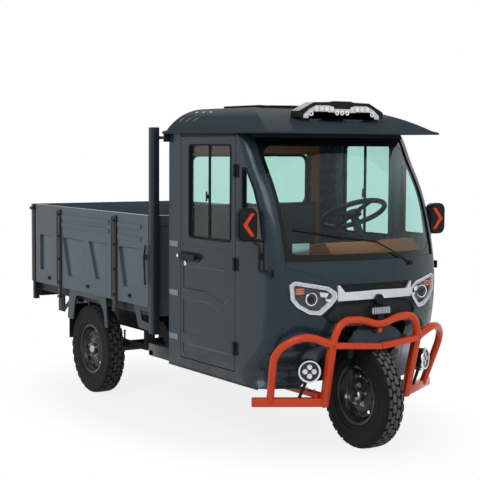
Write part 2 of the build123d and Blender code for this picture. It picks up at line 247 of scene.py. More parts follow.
def brushed_metal(tree, given, place):
    """Plated or cast metal with fine drawn lines and cloudy tarnish."""
    stretched = shading(tree, "Mapping", {"Scale": (1.0, 1.0, 14.0), "Vector": place})[0]
    lines = noise(tree, stretched, 90, 4)
    tarnish = remap(tree, noise(tree, place, 17, 5), 0.4, 0.75, 0.0, 0.6)
    rough = plus(tree, given["Roughness"], times(tree, lines, 0.15))
    relief = bump(tree, times(tree, lines, given["Lines"]), 0.0003, 0.3)
    return blend_color(tree, tarnish, given["Metal"], given["Tarnish"]), rough, relief


def road_rubber(tree, given, place):
    """Tyre rubber: dull black with dust that has settled on the blocks, and fine mould texture."""
    centred = shading(tree, "VectorMath", {0: place, 1: given["Centre"]}, operation="SUBTRACT")[0]
    ring = shading(tree, "VectorMath", {0: centred, 1: (1, 0, 1)}, operation="MULTIPLY")[0]
    away = shading(tree, "VectorMath", {0: ring}, operation="LENGTH")["Value"]
    crown = remap(tree, away, given["Inner"], given["Outer"])
    patches = remap(tree, noise(tree, place, 42, 5, 0.6), 0.25, 0.7, 0.35, 1.0)
    dusty = times(tree, times(tree, crown, patches), given["Amount"])
    rough = remap(tree, dusty, 0.0, 1.0, 0.62, 0.92)
    relief = bump(tree, noise(tree, place, 260, 3), 0.0006, 0.5)
    return blend_color(tree, dusty, given["Rubber"], given["Dust"]), rough, relief


def effect(surface, colors, numbers, vectors=()):
    """A node group made by a surface function, which gives its colour, roughness and normal."""
    group = bpy.data.node_groups.new(surface.__name__, "ShaderNodeTree")
    for labels, kind in ((colors, "Color"), (numbers, "Float"), (vectors, "Vector")):
        for label in labels:
            group.interface.new_socket(label, in_out="INPUT", socket_type="NodeSocket" + kind)
    results = (("Color", "Color"), ("Roughness", "Float"), ("Normal", "Vector"))
    for label, kind in results:
        group.interface.new_socket(label, in_out="OUTPUT", socket_type="NodeSocket" + kind)
    given = group.nodes.new("NodeGroupInput")
    result = group.nodes.new("NodeGroupOutput")
    for (label, _), value in zip(results, surface(group, given.outputs, object_place(group))):
        group.links.new(value, result.inputs[label])
    return group


effects = {
    "paint": effect(sprayed_paint, ("Paint", "Flake", "Dust"), ("Roughness", "Dust Height", "Dust Amount")),
    "plastic": effect(moulded_grain, ("Plastic", "Scuff"), ("Roughness", "Grain")),
    "hide": effect(hide_grain, ("Hide", "Crease Shade"), ("Roughness", "Scale")),
    "metal": effect(brushed_metal, ("Metal", "Tarnish"), ("Roughness", "Lines")),
    "tread": effect(road_rubber, ("Rubber", "Dust"), ("Inner", "Outer", "Amount"), ("Centre",)),
}


# ---- materials ----------------------------------------------------------

finishes = {}


def finish(name, effect_name, values, **uniform):
    """A material from one effect and its inputs' values in order; uniform sets the shader's own inputs."""
    material, tree, shader = principled(name, {"Specular IOR Level": 0.1, "Coat IOR": 1.3})
    group = tree.nodes.new("ShaderNodeGroup")
    group.node_tree = effects[effect_name]
    for socket, value in zip(group.inputs, values):
        socket.default_value = (*value, 1) if isinstance(value, tuple) else value
    for label, source in (("Base Color", "Color"), ("Roughness", "Roughness"), ("Normal", "Normal")):
        tree.links.new(group.outputs[source], shader.inputs[label])
    for label, value in uniform.items():
        shader.inputs[label.replace("_", " ").title().replace("Ior", "IOR")].default_value = value
    finishes[name] = material


def lit_glass(name, color, roughness=0.015):
    """Clear tinted glass whose faint smears show in its gloss."""
    material, tree, shader = principled(
        name, {"Base Color": (*color, 1), "Transmission Weight": 1.0, "IOR": 1.25})
    smear = noise(tree, object_place(tree), 5, 4)
    tree.links.new(remap(tree, smear, 0.45, 0.8, roughness, roughness + 0.02), shader.inputs["Roughness"])
    finishes[name] = material


def lamp_light(name, color, strength):
    """A lamp element: a bright moulded surface with a faint cell pattern that glows a little."""
    material, tree, shader = principled(
        name, {"Emission Strength": strength, "Roughness": 0.2, "Coat Weight": 0.5})
    cells = shading(tree, "TexVoronoi", {"Scale": 160, "Vector": object_place(tree)})["Distance"]
    ramp = tree.nodes.new("ShaderNodeValToRGB")
    ramp.color_ramp.elements[0].color = (*color, 1)
    ramp.color_ramp.elements[1].color = (*(part * 0.45 for part in color), 1)
    ramp.color_ramp.elements[1].position = 0.8
    tree.links.new(cells, ramp.inputs["Fac"])
    for label in ("Base Color", "Emission Color"):
        tree.links.new(ramp.outputs["Color"], shader.inputs[label])
    tree.links.new(bump(tree, cells, 0.001, 0.6), shader.inputs["Normal"])
    finishes[name] = material


dust = (0.2, 0.19, 0.17)

# Colour, flake, roughness, the height that dust reaches and its amount.
for name, color, flake, *dusted, uniform in (
        ("body_paint", (0.02, 0.035, 0.046), (0.042, 0.062, 0.078), 0.24, 0.6, 0.25,
         dict(metallic=0.25, coat_weight=0.4, coat_roughness=0.05)),
        ("roof_paint", (0.035, 0.05, 0.06), (0.06, 0.08, 0.095), 0.45, 0.6, 0.0,
         dict(specular_ior_level=0.0, coat_weight=0.06, coat_roughness=0.2)),
        ("board_paint", (0.082, 0.112, 0.138), (0.12, 0.155, 0.18), 0.36, 0.95, 0.3,
         dict(metallic=0.25, coat_weight=0.2, coat_roughness=0.15)),
        ("post_paint", (0.012, 0.018, 0.023), (0.03, 0.038, 0.045), 0.35, 0.8, 0.2,
         dict(coat_weight=0.15, coat_roughness=0.12)),
        ("frame_black", (0.013, 0.014, 0.016), (0.03, 0.032, 0.035), 0.45, 0.8, 0.3,
         dict(coat_weight=0.15)),
        ("bumper_orange", (0.6, 0.052, 0.012), (0.75, 0.1, 0.03), 0.22, 0.3, 0.15,
         dict(coat_weight=0.5, coat_roughness=0.05)),
        ("rim_black", (0.012, 0.0125, 0.014), (0.03, 0.03, 0.033), 0.3, 0.5, 0.25,
         dict(coat_weight=0.4, coat_roughness=0.12))):
    finish(name, "paint", (color, flake, dust, *dusted), **uniform)

# Colour, the colour of scuffs, painted crease shade or tarnish, roughness, and the strength or scale of the
# relief.
for effect_name, name, *values, uniform in (
        # Pale grey for the rear pillar pads: a painted highlight along the ribs there, on top of their real
        # relief.
        ("plastic", "painted_highlight_grey", (0.26, 0.29, 0.32), (0.34, 0.36, 0.38), 0.5, 0.5, {}),
        ("plastic", "grille", (0.06, 0.062, 0.066), (0.09, 0.09, 0.094), 0.42, 0.5, dict(coat_weight=0.15)),
        ("plastic", "lamp_lens", (0.02, 0.022, 0.025), (0.08, 0.085, 0.09), 0.22, 0.2, dict(coat_weight=0.8)),
        ("plastic", "black_plastic", (0.012, 0.0125, 0.0135), (0.045, 0.045, 0.048), 0.36, 0.7, {}),
        ("plastic", "rubber", (0.008, 0.008, 0.009), (0.03, 0.03, 0.03), 0.62, 0.35, {}),
        ("plastic", "black_glass", (0.004, 0.006, 0.006), (0.008, 0.01, 0.01), 0.06, 0.0,
         dict(coat_weight=0.6)),
        ("plastic", "stitching", (0.42, 0.43, 0.44), (0.3, 0.3, 0.31), 0.6, 0.6, {}),
        # The second colour of each hide finish is painted shade in the creases.
        ("hide", "interior_trim", (0.34, 0.115, 0.055), (0.2, 0.06, 0.03), 0.5, 340, {}),
        ("hide", "interior_dark", (0.03, 0.036, 0.036), (0.014, 0.016, 0.016), 0.55, 300, {}),
        ("hide", "interior_brown", (0.16, 0.06, 0.032), (0.09, 0.03, 0.016), 0.5, 300, {}),
        ("hide", "seat_leather", (0.014, 0.016, 0.018), (0.009, 0.01, 0.011), 0.34, 380,
         dict(coat_weight=0.2, coat_roughness=0.2)),
        ("metal", "trim_silver", (0.62, 0.65, 0.7), (0.5, 0.52, 0.56), 0.24, 0.3,
         dict(metallic=0.7, coat_weight=0.4)),
        ("metal", "chrome", (0.72, 0.74, 0.77), (0.45, 0.46, 0.48), 0.08, 0.2, dict(metallic=1.0)),
        ("metal", "cast", (0.03, 0.03, 0.032), (0.06, 0.055, 0.05), 0.5, 0.8, dict(metallic=0.5)),
        ("metal", "steel", (0.45, 0.46, 0.47), (0.2, 0.19, 0.18), 0.3, 0.7, dict(metallic=1.0)),
        ("metal", "mirror_glass", (0.8, 0.82, 0.84), (0.78, 0.8, 0.82), 0.02, 0.0, dict(metallic=1.0))):
    finish(name, effect_name, values, **uniform)

lit_glass("glass", (0.62, 0.82, 0.78))
lit_glass("clear_glass", (0.9, 0.93, 0.95))
lamp_light("lamp_light", (0.78, 0.81, 0.86), 0.12)
lamp_light("amber_lens", (0.85, 0.26, 0.03), 0.06)
lamp_light("tail_lens", (0.5, 0.012, 0.012), 0.04)

finishes["lamp_cover"] = principled("lamp_cover", {
    "Base Color": (0.75, 0.8, 0.85, 1), "Roughness": 0.03, "Alpha": 0.05, "Specular IOR Level": 0.2})[0]

for name, slot_name in slot_of.items():
    nodes[name].data.materials.clear()
    nodes[name].data.materials.append(finishes.get(slot_name, finishes["rubber"]))
nodes["roof"].data.materials[0] = finishes["roof_paint"]


# ---- modelling helpers --------------------------------------------------

X, Y, Z = Vector((1, 0, 0)), Vector((0, 1, 0)), Vector((0, 0, 1))


def everything(shape):
    return shape.verts[:] + shape.edges[:] + shape.faces[:]


def weld(shape, distance):
    bmesh.ops.remove_doubles(shape, verts=shape.verts[:], dist=distance)


def extruded(shape):
    """Extrudes a flat shape's faces and gives the corners of the new side, not yet moved."""
    made = bmesh.ops.extrude_face_region(shape, geom=shape.faces[:], use_keep_orig=True)["geom"]
    return [part for part in made if isinstance(part, bmesh.types.BMVert)]


def mesh_of(shape, name):
    """Turns a shape into a mesh and frees it."""
    mesh = bpy.data.meshes.new(name)
    shape.to_mesh(mesh)
    shape.free()
    return mesh


def node_shape(name):
    """A copy of a node's mesh in drawing millimetres, with its corners merged."""
    shape = bmesh.new()
    shape.from_mesh(nodes[name].data)
    bmesh.ops.translate(shape, vec=-origin, verts=shape.verts[:])
    bmesh.ops.scale(shape, vec=(1000, 1000, 1000), verts=shape.verts[:])
    weld(shape, 0.01)
    return shape


def piece(name, shape, material, smooth=35.0, bevel=0.0, body="chassis", closed=True,
          replaces=None):
    """Sets a shape in the frame as a named piece on a body, its edges rounded by a bevel in millimetres.

    The piece's material is the finish named by material.
    """
    if closed:
        bmesh.ops.recalc_face_normals(shape, faces=shape.faces[:])
    bmesh.ops.scale(shape, vec=(0.001, 0.001, 0.001), verts=shape.verts[:])
    bmesh.ops.translate(shape, vec=origin, verts=shape.verts[:])
    mesh = mesh_of(shape, name)
    mesh.shade_smooth()
    mesh.set_sharp_from_angle(angle=radians(smooth))
    made = linked(mesh)
    mesh.materials.clear()
    mesh.materials.append(finishes[material])
    if bevel:
        edges = made.modifiers.new("edges", "BEVEL")
        edges.width = bevel / 1000
        edges.segments = 2
        edges.limit_method = "ANGLE"
        edges.angle_limit = radians(35)
        edges.harden_normals = True
    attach(made, body)
    if replaces:
        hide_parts(replaces)
    return made


def add(shape, *others):
    """Puts other shapes into a shape and uses them up."""
    for other in others:
        mesh = mesh_of(other, "part")
        shape.from_mesh(mesh)
        bpy.data.meshes.remove(mesh)
    return shape


def moved(shape, offset):
    bmesh.ops.translate(shape, vec=offset, verts=shape.verts[:])
    return shape


def mirrored(shape):
    """The same shape on the other side of the vehicle."""
    other = shape.copy()
    bmesh.ops.scale(other, vec=(1, -1, 1), verts=other.verts[:])
    bmesh.ops.reverse_faces(other, faces=other.faces[:])
    return other


def both_sides(shape):
    return add(shape, mirrored(shape))


def on_side(shape, side):
    """The shape as drawn on the right, or mirrored to the left."""
    if side == "right":
        return shape
    other = mirrored(shape)
    shape.free()
    return other


def combined(first, second, operation):
    """The Boolean combination of two closed shapes, which are used up."""
    blanks = []
    for shape in (first, second):
        bmesh.ops.recalc_face_normals(shape, faces=shape.faces[:])
        blanks.append(linked(mesh_of(shape, "blank")))
    tool = blanks[0].modifiers.new("cut", "BOOLEAN")
    tool.object = blanks[1]
    tool.operation = operation
    tool.solver = "MANIFOLD"
    result = bmesh.new()
    result.from_object(blanks[0], bpy.context.evaluated_depsgraph_get())
    for blank in blanks:
        mesh = blank.data
        bpy.data.objects.remove(blank)
        bpy.data.meshes.remove(mesh)
    return result


def cut(shape, *tools):
    """The shape with each tool cut away in turn."""
    for tool in tools:
        shape = combined(shape, tool, "DIFFERENCE")
    return shape


def common(first, second):
    return combined(first, second, "INTERSECT")


def box(x_range, y_range, z_range, radius=0.0, segments=2):
    """A block between two values on each axis, with all its edges rounded."""
    shape = bmesh.new()
    low = Vector([min(r) for r in (x_range, y_range, z_range)])
    high = Vector([max(r) for r in (x_range, y_range, z_range)])
    bmesh.ops.create_cube(shape, size=1.0, matrix=Matrix.Translation((low + high) / 2)
                          @ Matrix.Diagonal((*(high - low), 1)))
    if radius:
        bmesh.ops.bevel(shape, geom=shape.edges[:], offset=radius, segments=segments, profile=0.5,
                        affect="EDGES", material=-1, clamp_overlap=True)
    return shape


def flat(outline, plane, corner=0.0, margin=0.0, segments=4):
    """A face from outline points, with rounded corners, drawn in by a margin."""
    shape = bmesh.new()
    shape.faces.new([shape.verts.new(plane(*point)) for point in outline])
    if margin:
        shape.normal_update()
        rim = bmesh.ops.inset_region(shape, faces=shape.faces[:], thickness=margin, use_even_offset=True,
                                     use_boundary=True)["faces"]
        bmesh.ops.delete(shape, geom=rim, context="FACES")
    if corner:
        bmesh.ops.bevel(shape, geom=shape.verts[:], offset=corner, segments=segments, profile=0.5,
                        affect="VERTICES", material=-1, clamp_overlap=True)
    return shape


def raised(shape, offset):
    """Extrudes flat faces by an offset, into a closed plate."""
    corners = extruded(shape)
    bmesh.ops.translate(shape, vec=offset, verts=corners)
    bmesh.ops.recalc_face_normals(shape, faces=shape.faces[:])
    return shape


def prism(outline, x_range, margin=0.0, corner=0.0):
    """A prism with a front-view outline (y, z points), between two values of x."""
    return raised(flat(outline, lambda y, z: Vector((x_range[0], y, z)), corner, margin),
                  X * (x_range[1] - x_range[0]))


def side_plate(outline, y_range, corner=0.0, margin=0.0):
    """A plate with a side-view outline (x, z points), between two values of y."""
    return raised(flat(outline, lambda x, z: Vector((x, y_range[0], z)), corner, margin),
                  Y * (y_range[1] - y_range[0]))


def rectangle(x_range, z_range):
    (left, right), (low, high) = x_range, z_range
    return [(left, low), (right, low), (right, high), (left, high)]


def symmetric(half_outline):
    """A front-view outline closed across the centre line from its y > 0 half."""
    return half_outline + [(-y, z) for y, z in reversed(half_outline)]


def bar(start, end, radius, sides=20, tip=None):
    """A round bar from start to end, narrowing to tip."""
    shape = bmesh.new()
    start, end = Vector(start), Vector(end)
    turn = (end - start).to_track_quat("Z", "Y").to_matrix().to_4x4()
    bmesh.ops.create_cone(shape, cap_ends=True, segments=sides, radius1=radius,
                          radius2=radius if tip is None else tip, depth=(end - start).length,
                          matrix=Matrix.Translation((start + end) / 2) @ turn)
    return shape


def square_bar(start, end, width, height, across, radius=3.0):
    """A square bar between two points; across is the direction that its width is measured in."""
    start, end = Vector(start), Vector(end)
    ahead = (end - start).normalized()
    sideways = (Vector(across) - ahead * ahead.dot(Vector(across))).normalized()
    turn = Matrix((sideways, ahead.cross(sideways), ahead)).transposed().to_4x4()
    shape = box((-width / 2, width / 2), (-height / 2, height / 2), (0, (end - start).length), radius)
    bmesh.ops.transform(shape, matrix=Matrix.Translation(start) @ turn, verts=shape.verts[:])
    return shape


def tube(points, radius, bend, sides=3):
    """A round bar along a bent line; bend is one radius, or one for each corner."""
    points = [Vector(point) for point in points]
    bends = bend if isinstance(bend, (list, tuple)) else [bend] * (len(points) - 2)
    route = [points[0]]
    for before, corner, after, turn_radius in zip(points, points[1:], points[2:], bends):
        back, ahead = (before - corner).normalized(), (after - corner).normalized()
        half_angle = back.angle(ahead) / 2
        reach = turn_radius / max(sin(half_angle) / cos(half_angle), 0.05)
        reach = min(reach, (before - corner).length * 0.49, (after - corner).length * 0.49)
        for step in range(9):
            share = step / 8
            route.append(corner + back * reach * (1 - share) ** 2 + ahead * reach * share ** 2)
    route.append(points[-1])
    line = bpy.data.curves.new("route", "CURVE")
    line.dimensions = "3D"
    spline = line.splines.new("POLY")
    spline.points.add(len(route) - 1)
    for point, place in zip(spline.points, route):
        point.co = (*place, 1)
    line.bevel_depth = radius
    line.bevel_resolution = sides
    line.use_fill_caps = True
    holder = bpy.data.objects.new("route", line)
    mesh = bpy.data.meshes.new_from_object(holder)
    shape = bmesh.new()
    shape.from_mesh(mesh)
    weld(shape, 0.01)
    bpy.data.objects.remove(holder)
    bpy.data.curves.remove(line)
    bpy.data.meshes.remove(mesh)
    return shape


def lathe(outline, centre, axis, steps=48, closed=False):
    """An outline of (radius, distance along the axis) points turned about the axis."""
    shape = bmesh.new()
    across = axis.orthogonal().normalized()
    line = [shape.verts.new(Vector(centre) + axis * reach + across * radius) for radius, reach in outline]
    edges = [shape.edges.new(pair) for pair in zip(line, line[1:])]
    if closed:
        edges.append(shape.edges.new((line[-1], line[0])))
    bmesh.ops.spin(shape, geom=line + edges, cent=centre, axis=axis, angle=2 * pi, steps=steps,
                   use_merge=True)
    weld(shape, 0.001)
    return shape


def bolt(place, direction, across):
    """A six-sided head on a washer, standing on place."""
    place, direction = Vector(place), Vector(direction).normalized()
    washer = bar(place - direction * across * 0.1, place + direction * across * 0.16, across * 0.72, 12)
    return add(washer, bar(place, place + direction * across * 0.62, across * 0.5, 6, across * 0.46))


# ---- wheels -------------------------------------------------------------

block_height = 8.0
block_root = 3.0
carcass_radius = tyre_radius - block_height - 0.5
crown_half = 44.0
shoulder_radius = 12.5
shoulder_turn = 1.25
tread_pitches = 30
centre_block = [(-27, -3), (17, -1.5), (27, -12), (19, -26), (-19, -26.5), (-28.5, -14)]
shoulder_lug = [(-21, -31), (21, -30.5), (23.5, -44), (16, -64), (-18, -64), (-23.5, -44)]


def wheel_centre(node):
    """The middle of a node's box, in drawing millimetres."""
    low, high = [(Vector(corner) - origin) * 1000 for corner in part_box(node)]
    return (low + high) / 2


def tread_section(round_from_crown, height):
    """(distance from the middle plane, radius) of a point on the tread or shoulder."""
    side = -1 if round_from_crown < 0 else 1
    reach = abs(round_from_crown)
    drop = 0.0009 * min(reach, crown_half) ** 2
    turn = min(max(reach - crown_half, 0) / shoulder_radius, shoulder_turn)
    past = max(reach - crown_half - shoulder_radius * shoulder_turn, 0)
    y = min(reach, crown_half) + shoulder_radius * sin(turn) + past * cos(turn) + height * sin(turn) * 0.35
    radius = carcass_radius - drop - shoulder_radius * (1 - cos(turn)) - past * sin(turn) + height * cos(turn)
    return side * y, radius


def tread_block(outline, shift, side):
    """A tapered block on the flat, before it is wrapped round the tyre."""
    shape = flat([(u + shift, s * side) for u, s in outline], lambda u, s: Vector((u, s, -block_root)))
    middle = sum((corner.co for corner in shape.verts), Vector()) / len(outline)
    top = extruded(shape)
    bmesh.ops.translate(shape, vec=(0, 0, block_root + block_height), verts=top)
    bmesh.ops.scale(shape, vec=(0.9, 0.93, 1), space=Matrix.Translation(-middle), verts=top)
    return shape


def tyre(node, body, dust_amount):
    centre = wheel_centre(node)
    pitch = 2 * pi * carcass_radius / tread_pitches
    shape = add(tread_block(centre_block, 0, 1), tread_block(centre_block, pitch / 2, -1),
                tread_block(shoulder_lug, pitch / 2, 1), tread_block(shoulder_lug, 0, -1))
    for line in (-58, -51, -45, 45, 51, 58):
        bmesh.ops.bisect_plane(shape, geom=everything(shape),
                               plane_co=(0, line, 0), plane_no=(0, 1, 0))
    for corner in shape.verts:
        turn = corner.co.x / carcass_radius
        y, radius = tread_section(corner.co.y, corner.co.z)
        corner.co = centre + Vector((radius * sin(turn), y, radius * cos(turn)))
    bmesh.ops.recalc_face_normals(shape, faces=shape.faces[:])
    bmesh.ops.spin(shape, geom=everything(shape), cent=centre, axis=Y,
                   angle=2 * pi * (tread_pitches - 1) / tread_pitches, steps=tread_pitches - 1,
                   use_duplicate=True)
    half = [tread_section(reach, 0)[::-1] for reach in (0, 15, 30, 44, 49, 54, 59.6, 66)]
    half += [(262, 58.3), (252, 59), (250, 59.7), (246, 59.7), (244, 59), (225, 59.2), (205, 57.8),
             (203, 58.6), (199, 58.6), (197, 57.2), (185, 55), (176, 54.5), (174, 55.6), (170, 55.6),
             (168, 54), (166.5, 48.8), (158, 47), (150, 40)]
    outline = [(radius, -y) for radius, y in reversed(half[1:])] + half
    add(shape, lathe(outline, centre, Y, 96))
    reach = [(tyre_radius - depth) / 1000 for depth in (6, 1)]
    finish(node + "_rubber", "tread",
           ((0.011, 0.011, 0.012), (0.14, 0.14, 0.135), *reach, dust_amount, centre / 1000 + origin))
    piece(node + "_treaded", shape, node + "_rubber", 30, body=body, replaces=node)


rim_edge = 43.2
vent_hole_circle = 112.0


def rim(node, body, side):
    """Well, lips, dished disc with vent holes, hub and brake drum, with its nuts, cap and valve."""
    centre = wheel_centre(node.replace("rim", "tyre"))
    outward = Y * side
    outside = [(152, rim_edge), (163, rim_edge + 5), (164, rim_edge + 9), (149, rim_edge + 5)]
    line = [(138, 14), (138, -14), (152, 10 - rim_edge)] + [(r, -z) for r, z in outside]
    line += [(146, 8 - rim_edge), (132, -18), (132, 18), (146, rim_edge - 8)]
    line += outside[::-1] + [(152, rim_edge - 10)]
    wheel = lathe(line, centre, outward, 72, closed=True)
    disc_line = [(135, 4), (126, 24), (112, 30), (92, 18), (76, 24), (30, 24)]
    disc = lathe(disc_line + [(r, z - 6) for r, z in reversed(disc_line)], centre, outward, 64, closed=True)
    holes = bmesh.new()
    for turn in range(0, 360, 45):
        spoke = Vector((sin(radians(turn)), 0, cos(radians(turn)))) * vent_hole_circle
        add(holes, bar(centre + spoke - outward * 5, centre + spoke + outward * 60, 13, 20))
    wheel = add(wheel, cut(disc, holes))
    for ring, steps in (([(10.2, 40), (31, 40), (36, 35), (36, -30), (10.2, -30)], 36),
                        ([(83, 8), (90, 14), (90, -26), (86, -28), (83, -26)], 64),
                        ([(30, 10), (84, 10), (84, 4), (30, 4)], 48)):
        add(wheel, lathe(ring, centre, outward, steps, closed=True))
    piece(node + "_turned", wheel, "rim_black", body=body, replaces=node)
    nuts = bmesh.new()
    for count in range(5):
        turn = 2 * pi * count / 5
        place = centre + Vector((sin(turn), 0, cos(turn))) * 56 + outward * 24
        add(nuts, bolt(place, outward, 17), bar(place, place + outward * 17, 5, 10))
    add(nuts, lathe([(0.01, 55), (12, 54.5), (22, 51), (27, 45), (28, 39), (0.01, 39)], centre, outward, 24))
    valve = centre + Vector((88, 0, 94)) + outward * 18
    add(nuts, bar(valve, valve + outward * 24 + Vector((-5, 0, -5)), 3.5, 8))
    piece(node + "_nuts", nuts, "steel", 40, body=body)


# ---- nose ---------------------------------------------------------------

hood_outline = symmetric([(505, 1040), (505, 1009), (386, 976), (281, 930), (258, 917)])
lamp_outline = [(-494, 919), (-470, 940), (-300, 909), (-256, 880), (-248, 848), (-278, 809), (-333, 757),
                (-395, 763), (-455, 798), (-488, 840)]
upper_grille_outline = symmetric([(236, 914), (209, 877), (1, 882)])
lower_grille_outline = symmetric([(1, 828), (257, 815), (312, 750), (275, 712), (1, 714)])
trim_outline = symmetric([(1, 881), (209, 876), (238, 913), (250, 913), (248, 830), (209, 831), (1, 834)])
arch_outline = symmetric([(350, 321), (350, 341), (300, 372), (252, 420), (240, 600), (240, 690)])
lamp_depth = 26.0
grille_depth = 12.0
projector_y, projector_z = -378.0, 842.0
nose_reach = (-140, 400)
cut_reach = (-200, 460)


def nose_skin(forward):
    """The nose panel moved along X, whose front is a skin parallel to the nose."""
    return moved(node_shape("front_fascia"), X * forward)


def skin_piece(blank, proud, depth):
    """A piece of the nose cut from a blank, standing proud of the skin and let into it."""
    return cut(common(blank, nose_skin(proud)), nose_skin(-depth))


def seen_from_front(*shapes):
    """Finds the foremost surface of these shapes behind a place in the front view."""
    shape = bmesh.new()
    add(shape, *shapes)
    tree = BVHTree.FromBMesh(shape)
    shape.free()

    def find(y, z, lift=0.0):
        hit = tree.ray_cast(Vector((900, y, z)), -X)[0]
        return None if hit is None else hit + X * lift
    return find


def laid_on(skin, shape, lift):
    """Moves a flat front-view shape back onto a skin."""
    for corner in shape.verts[:]:
        place = skin(corner.co.y, corner.co.z, lift)
        if place is not None:
            corner.co = place
    return shape


on_nose = seen_from_front(node_shape("front_fascia"))


def nose_panel():
    """The nose with its raised hood, lamp and grille pockets and the wheel arch."""
    panel = cut(node_shape("front_fascia"), prism(arch_outline, (-400, 400)))
    lamp_pocket = cut(prism(lamp_outline, nose_reach), nose_skin(-lamp_depth))
    panel = cut(panel, both_sides(lamp_pocket))
    grille_pocket = add(prism(upper_grille_outline, nose_reach), prism(lower_grille_outline, nose_reach))
    panel = cut(panel, cut(grille_pocket, nose_skin(-grille_depth)))
    hood = skin_piece(prism(hood_outline, nose_reach), 4, 5)
    add(panel, hood)
    piece("nose_panel", panel, "body_paint", 28, replaces="front_fascia")


def headlamps():
    """A six-sided silver bezel, a dark dish, the white light guide, reflectors, projector and indicator."""
    outer = prism(lamp_outline, nose_reach, 0.6, 6)
    bezel = skin_piece(cut(outer, prism(lamp_outline, cut_reach, 9, 4)), 9, 20)
    piece("lamp_bezels", both_sides(bezel), "trim_silver", 30, replaces="headlamps")
    dish = skin_piece(prism(lamp_outline, nose_reach, 6), -18, 25)
    piece("lamp_dishes", both_sides(dish), "lamp_lens", 30)
    band = cut(prism(lamp_outline, nose_reach, 9.5, 5), prism(lamp_outline, cut_reach, 21, 5))
    guide = skin_piece(band, 4, 10)
    piece("lamp_light_guides", both_sides(guide), "lamp_light", 30)
    floor = on_nose(projector_y, projector_z).x - 19
    middle = Vector((floor, projector_y, projector_z))
    shine = lathe([(34, 0), (38, 10), (35, 15), (30, 13), (26, 4)], middle, X, 32)
    for y, z, width, height in ((-316, 864, 24, 15), (-296, 836, 14, 8)):
        wedge = prism([(y - width * 0.9, z + height), (y + width, z + height * 0.5),
                       (y + width * 0.6, z - height), (y - width * 0.6, z - height * 0.7)], (0, 8))
        for corner in wedge.verts:
            depth = on_nose(corner.co.y, corner.co.z).x - 21 + 0.12 * abs(corner.co.y - projector_y)
            corner.co.x += depth
        add(shine, wedge)
    piece("lamp_reflectors", both_sides(shine), "chrome", 30)
    eye = lathe([(0.01, 21), (9, 20), (18, 16), (26, 8), (27, 2), (0.01, 2)], middle, X, 28)
    piece("lamp_projectors", both_sides(eye), "black_glass", 50)
    amber = bmesh.new()
    for step in range(3):
        rib = box((0, 12 - step), (-462, -410), (868 + step * 11, 877 + step * 11), 2)
        add(amber, moved(rib, X * (on_nose(-436, 880).x - 16)))
    piece("lamp_indicators", both_sides(amber), "amber_lens", 40)
    cover = flat(lamp_outline, lambda y, z: Vector((0, y, z)), 6, 4)
    laid_on(on_nose, cover, 5)
    piece("lamp_covers", both_sides(cover), "lamp_cover", 60, closed=False)


def grilles():
    """Bordered grille inserts with a honeycomb mesh in each."""
    frames = bmesh.new()
    for outline in (upper_grille_outline, lower_grille_outline):
        ring = cut(prism(outline, nose_reach, 0.6), prism(outline, cut_reach, 9))
        add(frames, skin_piece(ring, 3, grille_depth - 2))
    piece("grille_frames", frames, "black_plastic", 30, replaces="front_grille")
    cell = 7.8
    mesh = bmesh.new()
    for outline in (upper_grille_outline, lower_grille_outline):
        low_z, high_z = min(z for y, z in outline) + 12, max(z for y, z in outline) - 8
        for row in range(int((high_z - low_z) / (cell * 1.5)) + 1):
            z = low_z + row * cell * 1.5
            sides = [a[0] + (z - a[1]) / (b[1] - a[1]) * (b[0] - a[0])
                     for a, b in zip(outline, outline[1:] + outline[:1])
                     if min(a[1], b[1]) <= z < max(a[1], b[1])]
            near = min([abs(y) for y in sides if abs(y) < 200], default=0) if len(sides) > 2 else 0
            reach = max(sides) - 14
            for column in range(-int(reach / cell), int(reach / cell) + 1):
                y = (column + 0.5 * (row % 2)) * cell * 1.732
                if near < abs(y) < reach or (near == 0 and abs(y) < reach):
                    place = Matrix.Translation((0, y, z)) @ Matrix.Rotation(pi / 2, 4, "Y")
                    bmesh.ops.create_circle(mesh, cap_ends=True, radius=cell * 0.99, segments=6,
                                            matrix=place)
    bmesh.ops.inset_individual(mesh, faces=mesh.faces[:], thickness=1.7, use_even_offset=True)
    bmesh.ops.delete(mesh, geom=[face for face in mesh.faces if len(face.verts) == 6], context="FACES")
    laid_on(on_nose, mesh, -9)
    piece("grille_honeycomb", raised(mesh, X * 5), "grille", 30)


def nose_trim():
    """The bright bar between the lamps, its plain round boss and the bowed chin panel."""
    trim = skin_piece(prism(trim_outline, nose_reach, 0, 4), 12, 2)
    piece("nose_trim", trim, "trim_silver", 30, 1.5, replaces="front_trim")
    front = on_nose(0, 830) + X * 2
    boss = lathe([(0.01, 24), (12, 24), (13, 22), (16, 22), (18, 24.5), (25, 24.5), (28, 20), (28, 0),
                  (0.01, 0)], front, X, 36)
    piece("nose_boss", boss, "black_plastic", 30)
    ring = lathe([(1063, 578), (1068, 578), (1068, 640), (1043, 690), (1036, 690), (1063, 636)],
                 Vector((118 - 1068, 0, 0)), Z, 360, closed=True)
    dome = symmetric([(190, 570), (190, 610), (150, 655), (95, 690)])
    chin = common(ring, prism(dome, (0, 200)))
    piece("chin_panel", chin, "body_paint", 30)


# ---- glass borders ------------------------------------------------------


